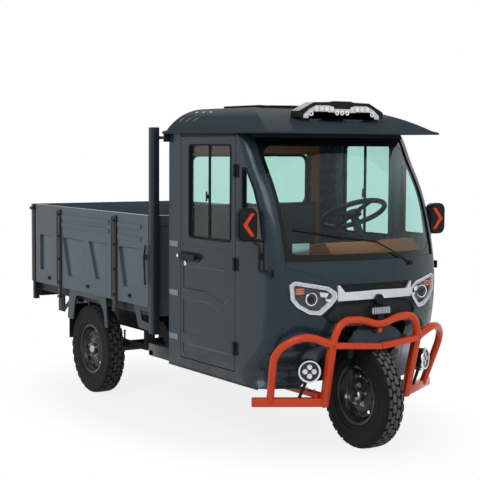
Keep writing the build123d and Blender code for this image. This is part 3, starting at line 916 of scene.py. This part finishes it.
def windshield_border():
    """The black printed band round the windshield, with round inner corners."""
    shape = node_shape("cab_windows")
    unwanted = []
    for face in shape.faces:
        middle = face.calc_center_median()
        if not (abs(middle.y) < 507.5 and middle.x > -450 and face.normal.x > 0.25 and middle.z > 1039):
            unwanted.append(face)
    bmesh.ops.delete(shape, geom=unwanted, context="FACES")
    half, low, high, corner = 507 - 24, 1040 + 34, 1690 - 46, 55
    lines = [(Vector((0, half, 0)), Y), (Vector((0, 0, low)), -Z), (Vector((0, 0, high)), Z)]
    for vertical, edge in ((-1, low), (1, high)):
        for turn in (22.5, 45, 67.5):
            direction = Vector((0, cos(radians(turn)), vertical * sin(radians(turn))))
            middle = Vector((0, half - corner, edge - vertical * corner))
            lines.append((middle + direction * corner, direction))
    lines += [(Vector((0, -place.y, place.z)), Vector((0, -way.y, way.z)))
              for place, way in lines if way.y > 0.01]
    for place, way in lines:
        bmesh.ops.bisect_plane(shape, geom=everything(shape),
                               plane_co=place, plane_no=way)
    inside = [face for face in shape.faces
              if all((face.calc_center_median() - place).dot(way) < 0 for place, way in lines)]
    bmesh.ops.delete(shape, geom=inside, context="FACES")
    shape.normal_update()
    for corner_point in shape.verts:
        corner_point.co += corner_point.normal * 0.8
    piece("windshield_border", shape, "black_glass", 60, closed=False)


quarter_window = [(-350, 1135), (-135, 1135), (-168, 1290), (-225, 1420), (-305, 1530), (-350, 1530)]
door_window = ((-915, -458), (1112, 1654))


def window_gaskets():
    """Gaskets round the quarter, door and rear windows, and the door windows' bars and catches."""
    ring = cut(side_plate(quarter_window, (-572, -550), 18), side_plate(quarter_window, (-580, -540), 14, 13))
    piece("quarter_gaskets", both_sides(ring), "rubber")
    opening = rectangle(*door_window)
    for side in ("right", "left"):
        door = cut(side_plate(opening, (-572.5, -552), 26), side_plate(opening, (-580, -540), 18, 11))
        stile = box((-714, -694), (-560, -550), (1122, 1644), 2)
        catch = add(box((-735, -728), (-565, -556), (1330, 1385), 2),
                    box((-728, -714), (-562, -557), (1345, 1370), 1))
        piece("door_gasket_" + side, on_side(add(door, stile, catch), side), "rubber",
              body="door_" + side)
    outer = prism(symmetric([(430, 1275), (430, 1590)]), (-1146.5, -1120), 0, 45)
    rear = cut(outer, prism(symmetric([(430, 1275), (430, 1590)]), (-1160, -1100), 12, 40))
    piece("rear_gasket", rear, "rubber")


# ---- doors --------------------------------------------------------------

hinge_x, hinge_y = -409.0, -578.0
hinge_heights = (535.0, 998.0, 1509.0)
door_fields = [
    [(-985, 812), (-718, 812), (-520, 758), (-478, 800), (-478, 940), (-520, 958), (-985, 958)],
    [(-985, 545), (-500, 545), (-500, 700), (-700, 762), (-985, 762)],
    [(-985, 430), (-480, 430), (-480, 500), (-985, 500)],
]


def sloped_pocket(outline, skin, depth, slope):
    """A pressed hollow whose walls slope in to its floor."""
    shape = flat(outline, lambda x, z: Vector((x, skin - 2, z)), 14)
    floor = extruded(shape)
    middle = sum((corner.co for corner in floor), Vector()) / len(floor)
    spans = [max(c.co[axis] for c in floor) - min(c.co[axis] for c in floor) for axis in (0, 2)]
    bmesh.ops.translate(shape, vec=Y * (depth + 2), verts=floor)
    scale = (1 - 2 * slope / spans[0], 1, 1 - 2 * slope / spans[1])
    bmesh.ops.scale(shape, vec=scale, space=Matrix.Translation(-middle), verts=floor)
    return shape


def door(side):
    """The door with its pressed fields and belt line, hinge leaves and knuckles."""
    name = "door_" + side
    panel = box((-1002, -414), (-570, -535), (409, 1695))
    panel = cut(panel, side_plate(rectangle(*door_window), (-580, -525), 26))
    for field in door_fields:
        panel = cut(panel, sloped_pocket(field, -570, 5, 12))
    panel = cut(panel, box((-985, -440), (-580, -567), (1066, 1078)))
    piece(name + "_panel", on_side(panel, side), "body_paint", 10, 1.5, body=name, replaces=name)
    leaves = bmesh.new()
    fixed = bmesh.new()
    for height in hinge_heights:
        add(leaves, bar((hinge_x, hinge_y, height - 12), (hinge_x, hinge_y, height + 12), 7.5),
            box((hinge_x - 31, hinge_x - 4), (-574, -570), (height - 35, height + 35), 1))
        add(fixed, bar((hinge_x, hinge_y, height - 35), (hinge_x, hinge_y, height - 12.3), 7.5),
            bar((hinge_x, hinge_y, height + 12.3), (hinge_x, hinge_y, height + 35), 7.5),
            bar((hinge_x, hinge_y, height - 37), (hinge_x, hinge_y, height + 37), 4, 12),
            box((hinge_x + 4, hinge_x + 30), (-574, -569), (height - 35, height + 35), 1))
        for offset in (-24, 24):
            add(leaves, bolt((hinge_x - 22, -574, height + offset), -Y, 7))
            add(fixed, bolt((hinge_x + 20, -574, height + offset), -Y, 7))
    piece(name + "_hinge_leaves", on_side(leaves, side), "black_plastic", body=name)
    piece("cab_hinges_" + side, on_side(fixed, side), "black_plastic")
    handle = side_plate(rectangle((-1000, -783), (978, 1032)), (-575, -569), 20)
    add(handle, side_plate(rectangle((-995, -800), (990, 1020)), (-602, -590), 14),
        bar((-978, -594, 1005), (-978, -570, 1005), 12), bar((-815, -594, 1005), (-815, -574, 1005), 10))
    piece(name + "_pull", on_side(handle, side), "black_plastic", 35, 2, body=name,
          replaces="door_handle_" + side)
    lock = add(lathe([(0.01, 9), (8, 9), (14, 6), (15, 0), (0.01, 0)], (-947, -570, 962), -Y, 24),
               box((-949, -945), (-581, -578), (957, 967), 0.5),
               lathe([(0.01, 14), (8, 14), (12, 11), (12, 0), (0.01, 0)], (-990, -590, 1005), -Y, 24))
    piece(name + "_lock", on_side(lock, side), "chrome", body=name)


def cab_side_details():
    """Raised pads on the rear pillar in pale grey, a painted highlight of the ribs there, a gutter over the
    door and a moulding along the sill.
    """
    pads = bmesh.new()
    for height in (1067, 778, 517):
        add(pads, box((-1135, -1035), (-574.5, -569), (height - 17, height + 17), 3))
    # The pads' pale grey is a painted highlight; their raised shape is real.
    piece("pillar_highlight_pads", both_sides(pads), "painted_highlight_grey")
    gutter = box((-1015, -405), (-577, -570), (1702, 1710), 2)
    piece("door_gutters", both_sides(gutter), "black_plastic")
    rail = box((-1144, -180), (-573, -568), (342, 352), 2)
    piece("sill_mouldings", both_sides(rail), "frame_black")


# ---- roof and light bar -------------------------------------------------

strip_half = [(1, 1850), (55, 1850), (85, 1868), (175, 1868), (225, 1845), (262, 1815), (262, 1795),
              (228, 1795), (215, 1822), (190, 1831), (100, 1831), (68, 1806), (1, 1806)]
housing_half = [(1, 1892), (60, 1892), (85, 1886), (190, 1884), (289, 1835), (289, 1800), (225, 1790),
                (215, 1822), (190, 1831), (100, 1831), (68, 1806), (1, 1806)]


def light_bar():
    """A faceted black housing on two feet, with a white strip of lamp cells across its front."""
    housing = prism(symmetric(housing_half), (-300, -224))
    frame_ring = cut(prism(symmetric(housing_half), (-226, -216)),
                     prism(symmetric(strip_half), (-240, -200), 0.5))
    feet = both_sides(box((-296, -236), (-268, -205), (1760, 1806), 4))
    feet_pads = both_sides(box((-306, -226), (-282, -192), (1752, 1775), 3))
    piece("light_bar_housing", add(housing, frame_ring, feet, feet_pads), "black_plastic", 30, 2.5,
          replaces="roof_light_bar")
    piece("light_bar_strip", prism(symmetric(strip_half), (-224, -217), 1), "lamp_light", 30)
    cells = bmesh.new()
    for count in range(-6, 7):
        y = count * 35
        z = 1828 if abs(y) < 50 else 1848 if abs(y) < 190 else 1822
        add(cells, lathe([(12, 0), (14, 2.5), (12, 3), (5, 0.6), (0.01, 0.5)], (-217, y, z), X, 16))
    piece("light_bar_cells", cells, "chrome", 40)


def roof_details():
    """The flat black panel on the roof and the ribs on its rear shoulders."""
    above = node_shape("roof")
    tree = BVHTree.FromBMesh(above)
    above.free()

    def roof_height(x, y):
        hit = tree.ray_cast(Vector((x, y, 2200)), -Z)[0]
        return None if hit is None else hit.z

    panel = bmesh.new()
    bmesh.ops.create_grid(panel, x_segments=24, y_segments=24, size=0.5)
    for corner in panel.verts:
        x, y = -800 + corner.co.x * 400, corner.co.y * 560
        corner.co = (x, y, (roof_height(x, y) or 1860) + 1.2)
    piece("roof_panel", raised(panel, Z * 12), "rubber", 30)
    ribs = bmesh.new()
    for x in (-1090, -1010, -930):
        rib = bmesh.new()
        bmesh.ops.create_grid(rib, x_segments=2, y_segments=16, size=0.5)
        for corner in rib.verts:
            along, across = corner.co.x * 24, corner.co.y * 120
            turn = radians(-25)
            px = x + along * cos(turn) - across * sin(turn)
            py = -470 + along * sin(turn) + across * cos(turn)
            crown = 5 * max(0, 1 - (abs(corner.co.y) * 2) ** 4) * max(0.1, 1 - abs(corner.co.x) * 1.9)
            corner.co = (px, py, (roof_height(px, py) or 1780) + crown - 1)
        add(ribs, raised(rib, -Z * 3))
    piece("roof_ribs", both_sides(ribs), "body_paint", 30)


# ---- mirrors and wiper --------------------------------------------------


def mirrors():
    """Round-cornered heads with orange chevrons, glass towards the driver, on bent tube brackets."""
    outline = rectangle((-716, -594), (1142, 1320))
    head = prism(outline, (-193, -158), 0, 40)
    dome = prism(outline, (-158, -150), 8, 34)
    arm = tube([(-170, -614, 1140), (-152, -586, 1120), (-152, -586, 985), (-78, -578, 975),
                (-78, -560, 985)], 8, [18, 20, 12])
    foot = tube([(-152, -586, 1062), (-152, -560, 1062)], 8, 0)
    pad = add(box((-172, -132), (-575, -569), (1040, 1084), 4), box((-98, -58), (-575, -569), (955, 998), 4))
    piece("mirror_heads", both_sides(add(head, dome)), "black_plastic", 30, 5, replaces="mirrors")
    piece("mirror_brackets", both_sides(add(arm, foot, pad)), "frame_black")
    glass = prism(outline, (-195, -192.8), 9, 32)
    piece("mirror_glasses", both_sides(glass), "mirror_glass")
    stroke = [(-640, 1292), (-617, 1292), (-662, 1231), (-617, 1170), (-640, 1170), (-690, 1231)]
    piece("mirror_chevrons", both_sides(prism(stroke, (-151, -149))), "bumper_orange")


def wiper():
    """Pivot cap, cranked arm, and a blade with its rubber on the glass."""
    glass = seen_from_front(node_shape("cab_windows"), node_shape("front_fascia"))
    pivot = glass(250, 1012)
    arm_route = [glass(*place) for place in ((120, 1080, 20), (0, 1140, 20), (-215, 1166, 16))]
    blade_route = [glass(*place) for place in (
        (20, 1134, 12), (-100, 1152, 13), (-215, 1168, 13), (-330, 1187, 12), (-446, 1204, 9))]
    rubber_route = [glass(*place) for place in (
        (20, 1131, 5), (-100, 1149, 5), (-215, 1165, 5), (-330, 1184, 5), (-446, 1201, 4))]
    arm = add(bar(pivot - X * 6, pivot + X * 22, 15, 20, 12), tube([pivot + X * 12, *arm_route], 5, 40))
    piece("wiper_arm", add(arm, tube(blade_route, 5, 60)), "black_plastic", 40, replaces="wiper")
    piece("wiper_rubber", tube(rubber_route, 3.5, 60), "rubber", 40)


# ---- bumper -------------------------------------------------------------

bar_low, bar_high = 259.0, 307.0


def bumper():
    """Square posts and bars with round hoops over the nose and round each fog lamp."""
    bar_z = (bar_low + bar_high) / 2
    post = square_bar((20, 281, bar_low), (108, 290, 632), 40, 40, (0, 1, 0), 6)
    side_bar = square_bar((30, 264, bar_z), (-176, 614, bar_z), 40, bar_high - bar_low, (333, 196, 0), 6)
    hoop = tube([(106, 292, 604), (77, 450, 665), (-19, 576, 581), (-122, 532, bar_z)], 21, [160, 190], 5)
    cross = square_bar((112, 288, 600), (150, 0, 580), 34, 34, (288, 38, 0), 6)
    arm = box((-345, 6), (285, 330), (bar_high, bar_high + 28), 3)
    shape = both_sides(add(post, side_bar, hoop, cross, arm))
    add(shape, tube([(108, -296, 606), (122, -250, 730), (130, -120, 728), (138, 0, 690), (130, 120, 728),
                     (122, 250, 730), (108, 296, 606)], 21, [120, 330, 420, 330, 120], 5))
    add(shape, box((134, 142), (-12, 12), (652, 676), 2))
    piece("bumper_welded", shape, "bumper_orange", replaces="bumper")
    bolts = bmesh.new()
    for y in (-300, 300):
        for x in (-40, -110):
            add(bolts, bolt((x, y, bar_high + 28), Z, 13))
    piece("bumper_bolts", bolts, "steel")


def fog_lamps():
    """Ribbed round lamps with a bright ring on stays, and the clear lamp box over the hoop."""
    turn = radians(30)
    ahead = Vector((cos(turn), -sin(turn), 0))
    centre = Vector((15, -378, 463))
    line = [(0.01, -39), (44, -39), (52, -33)]
    for place in (-30, -18, -6, 6, 18):
        line += [(52, place - 4), (57, place - 3), (57, place + 3), (52, place + 4)]
    line += [(52, 30), (60, 33), (60, 44), (50, 46), (50, 38), (0.01, 38)]
    body = lathe(line, centre, ahead, 40)
    stay = bar((-46, -397, 303), (12, -388, 412), 9)
    piece("fog_lamp_bodies", both_sides(add(body, stay)), "black_plastic", replaces="bumper_lamps")
    ring = lathe([(49, 44), (53, 48), (59, 47), (61, 42), (61, 36), (59, 36), (59, 42), (50, 40)],
                 centre, ahead, 40, closed=True)
    bowl = lathe([(48, 41), (40, 39), (24, 38.4), (10, 38.2), (0.01, 38.2)], centre, ahead, 32)
    cells = bmesh.new()
    across = Vector((sin(turn), cos(turn), 0))
    for place in (Z * 24, Z * -24, across * 24, across * -24):
        add(cells, lathe([(13, 39.5), (14, 43), (11, 42), (5, 40), (0.01, 39.8)], centre + place, ahead, 20))
    piece("fog_lamp_rings", both_sides(ring), "chrome", 40)
    piece("fog_lamp_cells", both_sides(cells), "trim_silver", 40)
    piece("fog_lamp_lenses", both_sides(bowl), "lamp_lens", 40)
    bracket = box((128, 146), (-20, 20), (700, 752), 2)
    base = box((122, 140), (-64, 64), (747, 794), 4)
    piece("centre_lamp_bracket", add(bracket, base), "black_plastic")
    ribs = bmesh.new()
    for count in range(-5, 6):
        add(ribs, box((139, 149), (count * 10.5 - 3, count * 10.5 + 3), (756, 786), 1.5))
    piece("centre_lamp_reflector", ribs, "trim_silver", 40)
    piece("centre_lamp_cover", box((139, 160), (-61, 61), (750, 791), 6, 3), "clear_glass", 40)


# ---- front fork and mudguard --------------------------------------------

leg_y = 86.0


def fork():
    """Crown with clamp bolts, sliders with lugs, bright stanchions with ribbed boots, and the axle nuts."""
    crown = box((-35, 35), (-109, 109), (612, 641), 5)
    stem = bar((0, 0, 636), (0, 0, 785), 15)
    shape = add(crown, stem, bar((0, 0, 636), (0, 0, 672), 23))
    boots = bmesh.new()
    bright = bmesh.new()
    for y in (-leg_y, leg_y):
        add(shape, bar((0, y, 262), (0, y, 442), 20, 28), box((-26, 26), (y - 12, y + 12), (262, 332), 4),
            bar((0, y, 502), (0, y, 614), 20, 28))
        line = [(15.5, 438)]
        for count in range(5):
            line += [(23, 442 + count * 12), (18, 448 + count * 12)]
        line += [(15.5, 502)]
        add(boots, lathe(line, (0, y, 0), Z, 28))
        add(bright, bar((0, y, 436), (0, y, 506), 15, 24))
        outward = Y if y > 0 else -Y
        add(bright, bolt((0, y + outward.y * 13, axle_height), outward, 27))
        for x in (-24, 24):
            add(bright, bolt((x, y, 641), Z, 12))
    add(shape, bar((0, -108, axle_height), (0, 108, axle_height), 10, 20))
    piece("fork_legs", shape, "frame_black", 35, 1.5, body="steering_fork", replaces="front_fork")
    piece("fork_boots", boots, "rubber", 30, body="steering_fork")
    piece("fork_bright_parts", bright, "steel", body="steering_fork")


def mudguard():
    """A crowned guard over the front tyre."""
    crown_radius, edge_radius = tyre_radius + 24, tyre_radius - 8
    shape = bmesh.new()
    section = []
    for step in range(17):
        y = -66 + 132 * step / 16
        drop = (crown_radius - edge_radius) * (abs(y) / 66) ** 2.2
        section.append((crown_radius - drop, y))
    inner = [(radius - 3, y) for radius, y in reversed(section)]
    ring = section + inner
    across = [shape.verts.new(Vector((radius, y, 0))) for radius, y in ring]
    face = shape.faces.new(across)
    start, sweep = radians(62), radians(90)
    bmesh.ops.rotate(shape, verts=shape.verts[:], cent=(0, 0, 0), matrix=Matrix.Rotation(-start, 3, "Y"))
    bmesh.ops.spin(shape, geom=shape.verts[:] + shape.edges[:] + [face], cent=(0, 0, 0), axis=(0, 1, 0),
                   angle=-sweep, steps=36, use_duplicate=False)
    moved(shape, Z * axle_height)
    piece("mudguard_shell", shape, "black_plastic", 40, body="steering_fork", replaces="front_mudguard")


# ---- cargo box ----------------------------------------------------------

board_skin = -620.0
pockets = [(-2922, -2920, -2690, 752, 1018), (-2549, -2451, -2200, 744, 1016),
           (-2144, -2032, -1860, 760, 1020), (-1712, -1640, -1400, 752, 1018)]
ridges = [((-2545, -1835), 1153), ((-2545, -1835), 1098), ((-1710, -1405), 1147), ((-1710, -1405), 1072)]


def board_pocket(top_rear, bottom_rear, front, bottom, top):
    """The hollow of a pressed pocket: nine deep with sloping walls, and a deeper ramp along its rear edge."""
    hollow = sloped_pocket([(bottom_rear, bottom), (front, bottom), (front, top), (top_rear, top)],
                           board_skin, 9, 12)
    ramp = box((0, 62), (board_skin - 4, board_skin + 18), (bottom + 12, top - 12))
    for corner in ramp.verts:
        rise = (corner.co.z - bottom) / (top - bottom)
        if corner.co.x > 30 and corner.co.y > board_skin:
            corner.co.y = board_skin + 9
        corner.co.x += bottom_rear + (top_rear - bottom_rear) * rise + 4
    return hollow, ramp


def side_board(side):
    """A drop side with pressed pockets, beads, strap slots, hinge straps and its latch lever."""
    name = "side_board_" + side
    board = box((-2990, -1313), (board_skin, board_skin + 28), (665, 1222))
    for place in pockets:
        board = cut(board, *board_pocket(*place))
    for x_range in ((-2636, -2604), (-1806, -1774)):
        board = cut(board, box(x_range, (board_skin - 4, board_skin + 12), (677, 1192)))
    for x_range in ((-2977, -2648), (-2537, -1843), (-1702, -1338)):
        board = cut(board, box(x_range, (board_skin + 21, board_skin + 34), (690, 1190)))
    bead = bmesh.new()
    for (start, end), height in ridges:
        outline = [(start, height - 13), (start + 16, height - 15), (end - 16, height - 15),
                   (end, height - 13), (end, height + 13), (end - 16, height + 15),
                   (start + 16, height + 15), (start, height + 13)]
        add(bead, side_plate(outline, (board_skin - 5, board_skin + 1)))
    add(board, bead)
    piece(name + "_pressed", on_side(board, side), "board_paint", 12, 1.5, body=name,
          replaces=name)
    iron = bmesh.new()
    for start, end in ((-2600, -2555), (-1770, -1720)):
        add(iron, box((start, end), (board_skin - 8, board_skin - 0.2), (612, 1200), 1.5))
        add(iron, bar((start, board_skin - 6, 600), (end, board_skin - 6, 600), 9, 20))
        for height in (700, 860, 1020, 1170):
            add(iron, bolt(((start + end) / 2, board_skin - 8, height), -Y, 15))
    lever = [(-1325, board_skin - 12, 1041), (-1345, board_skin - 12, 968), (-1330, board_skin - 12, 800)]
    add(iron, tube(lever, 6, 18), box((-1362, -1322), (board_skin - 9, board_skin), (952, 984), 3))
    for x in (-2759, -2147, -1552):
        add(iron, box((x - 18, x + 18), (board_skin - 6, board_skin), (700, 724), 2),
            bolt((x, board_skin - 6, 712), -Y, 11))
    piece(name + "_irons", on_side(iron, side), "frame_black", 35, 1, body=name)


def tailgate():
    """The tailgate with pressed fields, hinge straps and a slide latch at each upper corner."""
    gate = box((-3073, -3049), (-618, 618), (665, 1222))
    for middle in (-410, 0, 410):
        field = prism(rectangle((middle - 185, middle + 185), (745, 1145)), (-3080, -3064), 0, 25)
        gate = cut(gate, field)
    piece("tailgate_pressed", gate, "board_paint", 30, 2, body="tailgate",
          replaces="tailgate")
    iron = bmesh.new()
    for y in (-400, 400):
        add(iron, box((-3068, -3063.5), (y - 25, y + 25), (640, 745), 1),
            bar((-3067, y - 25, 640), (-3067, y + 25, 640), 6))
        for height in (690, 725):
            add(iron, bolt((-3066, y, height), -X, 9))
    for y in (-590, 590):
        add(iron, bar((-3066, y, 1160), (-3066, y, 1205), 5),
            box((-3071, -3064), (y - 22, y + 22), (1140, 1172), 2))
    for y in (-626, 626):
        add(iron, bar((-3072, y, 1193), (-3050, y, 1193), 8),
            box((-3071, -3052), (y - 8, y + 8), (1180, 1184), 1))
    piece("tailgate_irons", iron, "frame_black", body="tailgate")


def headboard():
    """Tall square posts, the front wall of the cargo box and the rods that tie the posts to the cab."""
    posts = both_sides(box((-1308, -1243), (-620, -580), (505, 1752), 3))
    panel = box((-1308, -1278), (-580, 580), (610, 1222))
    for middle in (-400, 0, 400):
        panel = cut(panel, box((-1287, -1270), (middle - 165, middle + 165), (720, 1160)))
    rods = both_sides(bar((-1245, -585, 1690), (-1144, -585, 1690), 9))
    feet = both_sides(add(box((-1153, -1145.5), (-605, -565), (1665, 1715), 2),
                          bolt((-1154, -598, 1672), -X, 8)))
    piece("headboard_posts", add(posts, rods, feet), "post_paint", 30, 1,
          replaces="bed_headboard")
    piece("headboard_panel", panel, "board_paint", 30, 1.5)


fender_outline = [(-2463, 467), (-2431, 664), (-1883, 664), (-1857, 470), (-1895, 470), (-1913, 560),
                  (-1950, 608), (-2010, 636), (-2300, 636), (-2330, 625), (-2345, 590), (-2377, 467)]


def bed_underside():
    """Fender arches, slotted steps, legs with braces, sill bars, latch keepers and tail lamps."""
    arch = add(side_plate(fender_outline, (-620, -607)), box((-2431, -1883), (-608, -586), (655, 664)))
    piece("fender_arches", both_sides(arch), "body_paint", 30, 1.5, replaces="rear_fenders")
    step = side_plate([(-1559, 664), (-1308, 664), (-1308, 511), (-1492, 519)], (-590, -586))
    step = cut(step, side_plate([(-1477, 628), (-1334, 628), (-1338, 557), (-1450, 569)], (-600, -570)))
    piece("bed_step_plates", both_sides(step), "body_paint", 30, 1, replaces="bed_steps")
    leg = add(box((-2684, -2589), (-586, -576), (490, 610), 1.5),
              side_plate([(-2600, 492), (-2600, 520), (-2470, 610), (-2430, 610)], (-586, -576)))
    sill = add(box((-1407, -1146), (-565, -530), (355, 431), 3),
               box((-1400, -1350), (-565, -350), (360, 390), 2))
    piece("bed_legs", both_sides(leg), "frame_black", 30)
    piece("sill_bars", both_sides(sill), "body_paint", 30)
    keeper = box((-3044, -3008), (-636, -620), (1181, 1205), 2)
    piece("latch_keepers", both_sides(keeper), "frame_black", 30)
    housing = box((-3042, -2985), (-586, -430), (562, 605), 3)
    piece("tail_lamp_housings", both_sides(housing), "black_plastic", 30, replaces="tail_lamps")
    red = box((-3055, -3042), (-582, -490), (566, 601), 3)
    amber = box((-3055, -3042), (-486, -434), (566, 601), 3)
    piece("tail_lamp_lenses", both_sides(red), "tail_lens", 30)
    piece("tail_lamp_indicators", both_sides(amber), "amber_lens", 30)


def running_gear():
    """Clamps and bolts on the springs, and mud flaps behind the rear wheels."""
    clamps = bmesh.new()
    for y in (-380, 380):
        for x in (-2190, -2122):
            legs = [bar((x, y + side, 332), (x, y + side, 398), 6, 12) for side in (-22, 22)]
            add(clamps, *legs, *(bolt((x, y + side, 398), Z, 14) for side in (-22, 22)))
        add(clamps, box((-2208, -2104), (y - 32, y + 32), (326, 336), 3))
    piece("spring_clamps", clamps, "cast")
    flap = box((-2458, -2450), (-610, -470), (330, 560), 2)
    flap_bolts = add(bolt((-2458, -580, 540), -X, 9), bolt((-2458, -500, 540), -X, 9))
    piece("mud_flaps", both_sides(add(flap, flap_bolts)), "rubber")


# ---- inside the cab -----------------------------------------------------


def cab_interior():
    """The ceiling liner, the brown rear trim, the instrument hood, the dash cover and a plain plate."""
    liner = box((-1100, -330), (-500, 500), (1706, 1712), 2)
    piece("ceiling_liner", liner, "interior_dark")
    trim = box((-1108, -1100), (-500, 500), (860, 1690))
    trim = cut(trim, box((-1120, -1090), (-440, 440), (1268, 1600)))
    for y in (-430, 430):
        trim = cut(trim, box((-1104, -1090), (y - 30, y + 30), (1010, 1200), 8))
    piece("rear_wall_trim", trim, "interior_brown", 30, 4)
    hood = box((-290, -156), (120, 340), (1016, 1058), 14, 4)
    bezel = lathe([(30, 0), (38, 4), (38, 10), (30, 8)], (-286, 230, 1042), -X, 28, closed=True)
    piece("instrument_hood", hood, "interior_dark")
    piece("instrument_bezel", bezel, "black_glass")
    dash = side_plate([(-300, 1012), (-292, 1092), (-110, 1122), (-40, 1060), (-30, 1012)], (-190, 300), 14)
    far = side_plate([(-300, 1012), (-292, 1112), (-180, 1122), (-90, 1050), (-80, 1012)], (340, 490), 14)
    piece("dash_cover", add(dash, far), "interior_trim", 35, 4)
    plate = box((-60, -56), (-440, -330), (1066, 1130), 1.5)
    piece("plain_plate", plate, "trim_silver", 30)


def steering_wheel_fittings():
    """The pad on the hub of the steering wheel."""
    centre = Vector((-400, 230, 1255))
    turn = Matrix.Rotation(radians(-27), 3, "Y")
    ahead = turn @ Z
    pad = lathe([(0.01, 22), (30, 20), (44, 12), (48, 0), (0.01, 0)], centre, ahead, 28)
    piece("steering_hub", pad, "black_plastic", body="steering_wheel")


pad_corner = 16
pad_inset = 10
seam_rise = 3
seam_radius = 2
cloth_grid = 0.008
cloth_frames = 20
most_swelling = 0.024
smoothing_passes = 12


def seat_pads():
    """The cushion and two backs, blown up as cloth, with stitching lines at their outer faces."""
    areas = [("seat_cushion", (-1000, -560), (-470, 470), (750, 850)),
             ("seat_back_left", (-1090, -1000), (23, 447), (805, 1330)),
             ("seat_back_right", (-1090, -1000), (-447, -23), (805, 1330))]
    for name, *ranges in areas:
        shape = box(*([low + pad_inset, high - pad_inset] for low, high in ranges), pad_corner, 3)
        (rear, front), y_range, (_, top) = ranges
        routes = []
        if name == "seat_cushion":
            height = top + seam_rise
            for y in (-235, 0, 235):
                routes.append(([(rear + 40, y, height), (front - 30, y, height)], 0))
            for y in (-235, 235):
                routes.append(([(front - 60, y - 90, height), (front - 160, y, height),
                                (front - 60, y + 90, height)], [12]))
        else:
            middle = sum(y_range) / 2
            for height in (980, 1110, 1240):
                routes.append(([(front + seam_rise, middle - 140, height),
                                (front + seam_rise, middle, height - 60),
                                (front + seam_rise, middle + 140, height)], [10]))
        seams = add(bmesh.new(), *(tube(route, seam_radius, bend) for route, bend in routes))
        made = piece(name, shape, "seat_leather", 60, replaces="seat" if name == "seat_cushion" else None)
        blow_up(made)
        piece(name + "_stitching", seams, "stitching", 40)


def blow_up(made):
    """Swells a box-shaped pad into a crowned cushion with a short cloth simulation."""
    remesh = made.modifiers.new("grid", "REMESH")
    remesh.mode = "VOXEL"
    remesh.voxel_size = cloth_grid
    bpy.context.view_layer.objects.active = made
    for obj in bpy.context.selected_objects:
        obj.select_set(False)
    made.select_set(True)
    bpy.ops.object.modifier_apply(modifier=remesh.name)
    start = [corner.co.copy() for corner in made.data.vertices]
    cloth = made.modifiers.new("air", "CLOTH")
    cloth.settings.use_pressure = True
    cloth.settings.uniform_pressure_force = 4
    cloth.settings.effector_weights.gravity = 0
    scene = bpy.context.scene
    for number in range(1, cloth_frames + 1):
        scene.frame_set(number)
    swollen = made.evaluated_get(bpy.context.evaluated_depsgraph_get()).data
    moves = [corner.co - first for corner, first in zip(swollen.vertices, start)]
    made.modifiers.remove(cloth)
    scene.frame_set(1)
    for corner, first, move in zip(made.data.vertices, start, moves):
        length = move.length
        corner.co = first + move * (min(length, most_swelling) / length if length > 1e-9 else 0)
    shape = bmesh.new()
    shape.from_mesh(made.data)
    for _ in range(smoothing_passes):
        bmesh.ops.smooth_vert(shape, verts=shape.verts[:], factor=0.5, use_axis_x=True, use_axis_y=True,
                              use_axis_z=True)
    shape.to_mesh(made.data)
    shape.free()
    made.data.shade_smooth()


# ---- the vehicle --------------------------------------------------------

tyre("front_tyre", "front_wheel", 1.0)
rim("front_rim", "front_wheel", -1)
for side, outward in (("right", -1), ("left", 1)):
    tyre("rear_tyre_" + side, "rear_wheel_" + side, 0.4)
    rim("rear_rim_" + side, "rear_wheel_" + side, outward)
for make in (nose_panel, headlamps, grilles, nose_trim, windshield_border, window_gaskets):
    make()
for side in ("right", "left"):
    door(side)
for make in (cab_side_details, light_bar, roof_details, mirrors, wiper, bumper, fog_lamps, fork, mudguard):
    make()
for side in ("right", "left"):
    side_board(side)
for make in (tailgate, headboard, bed_underside, running_gear, cab_interior, steering_wheel_fittings,
             seat_pads):
    make()

add_world()
add_camera()
add_floor()
add_lamp("key", (4.5, -5.5, 6.0), (0, 0, 0.8), 4.0, 280)
add_lamp("front", (7.0, 3.0, 3.5), (0, 0, 0.8), 4.0, 95, mirrored=False)
add_lamp("cab", origin + Vector((-0.45, 0.0, 1.67)), origin + Vector((-0.6, 0, 0.9)), 0.5, 9, mirrored=False)
add_lamp("rear", (-5.0, 3.5, 5.0), (0, 0, 0.8), 4.0, 130)
bpy.context.scene.view_settings.view_transform = "Standard"
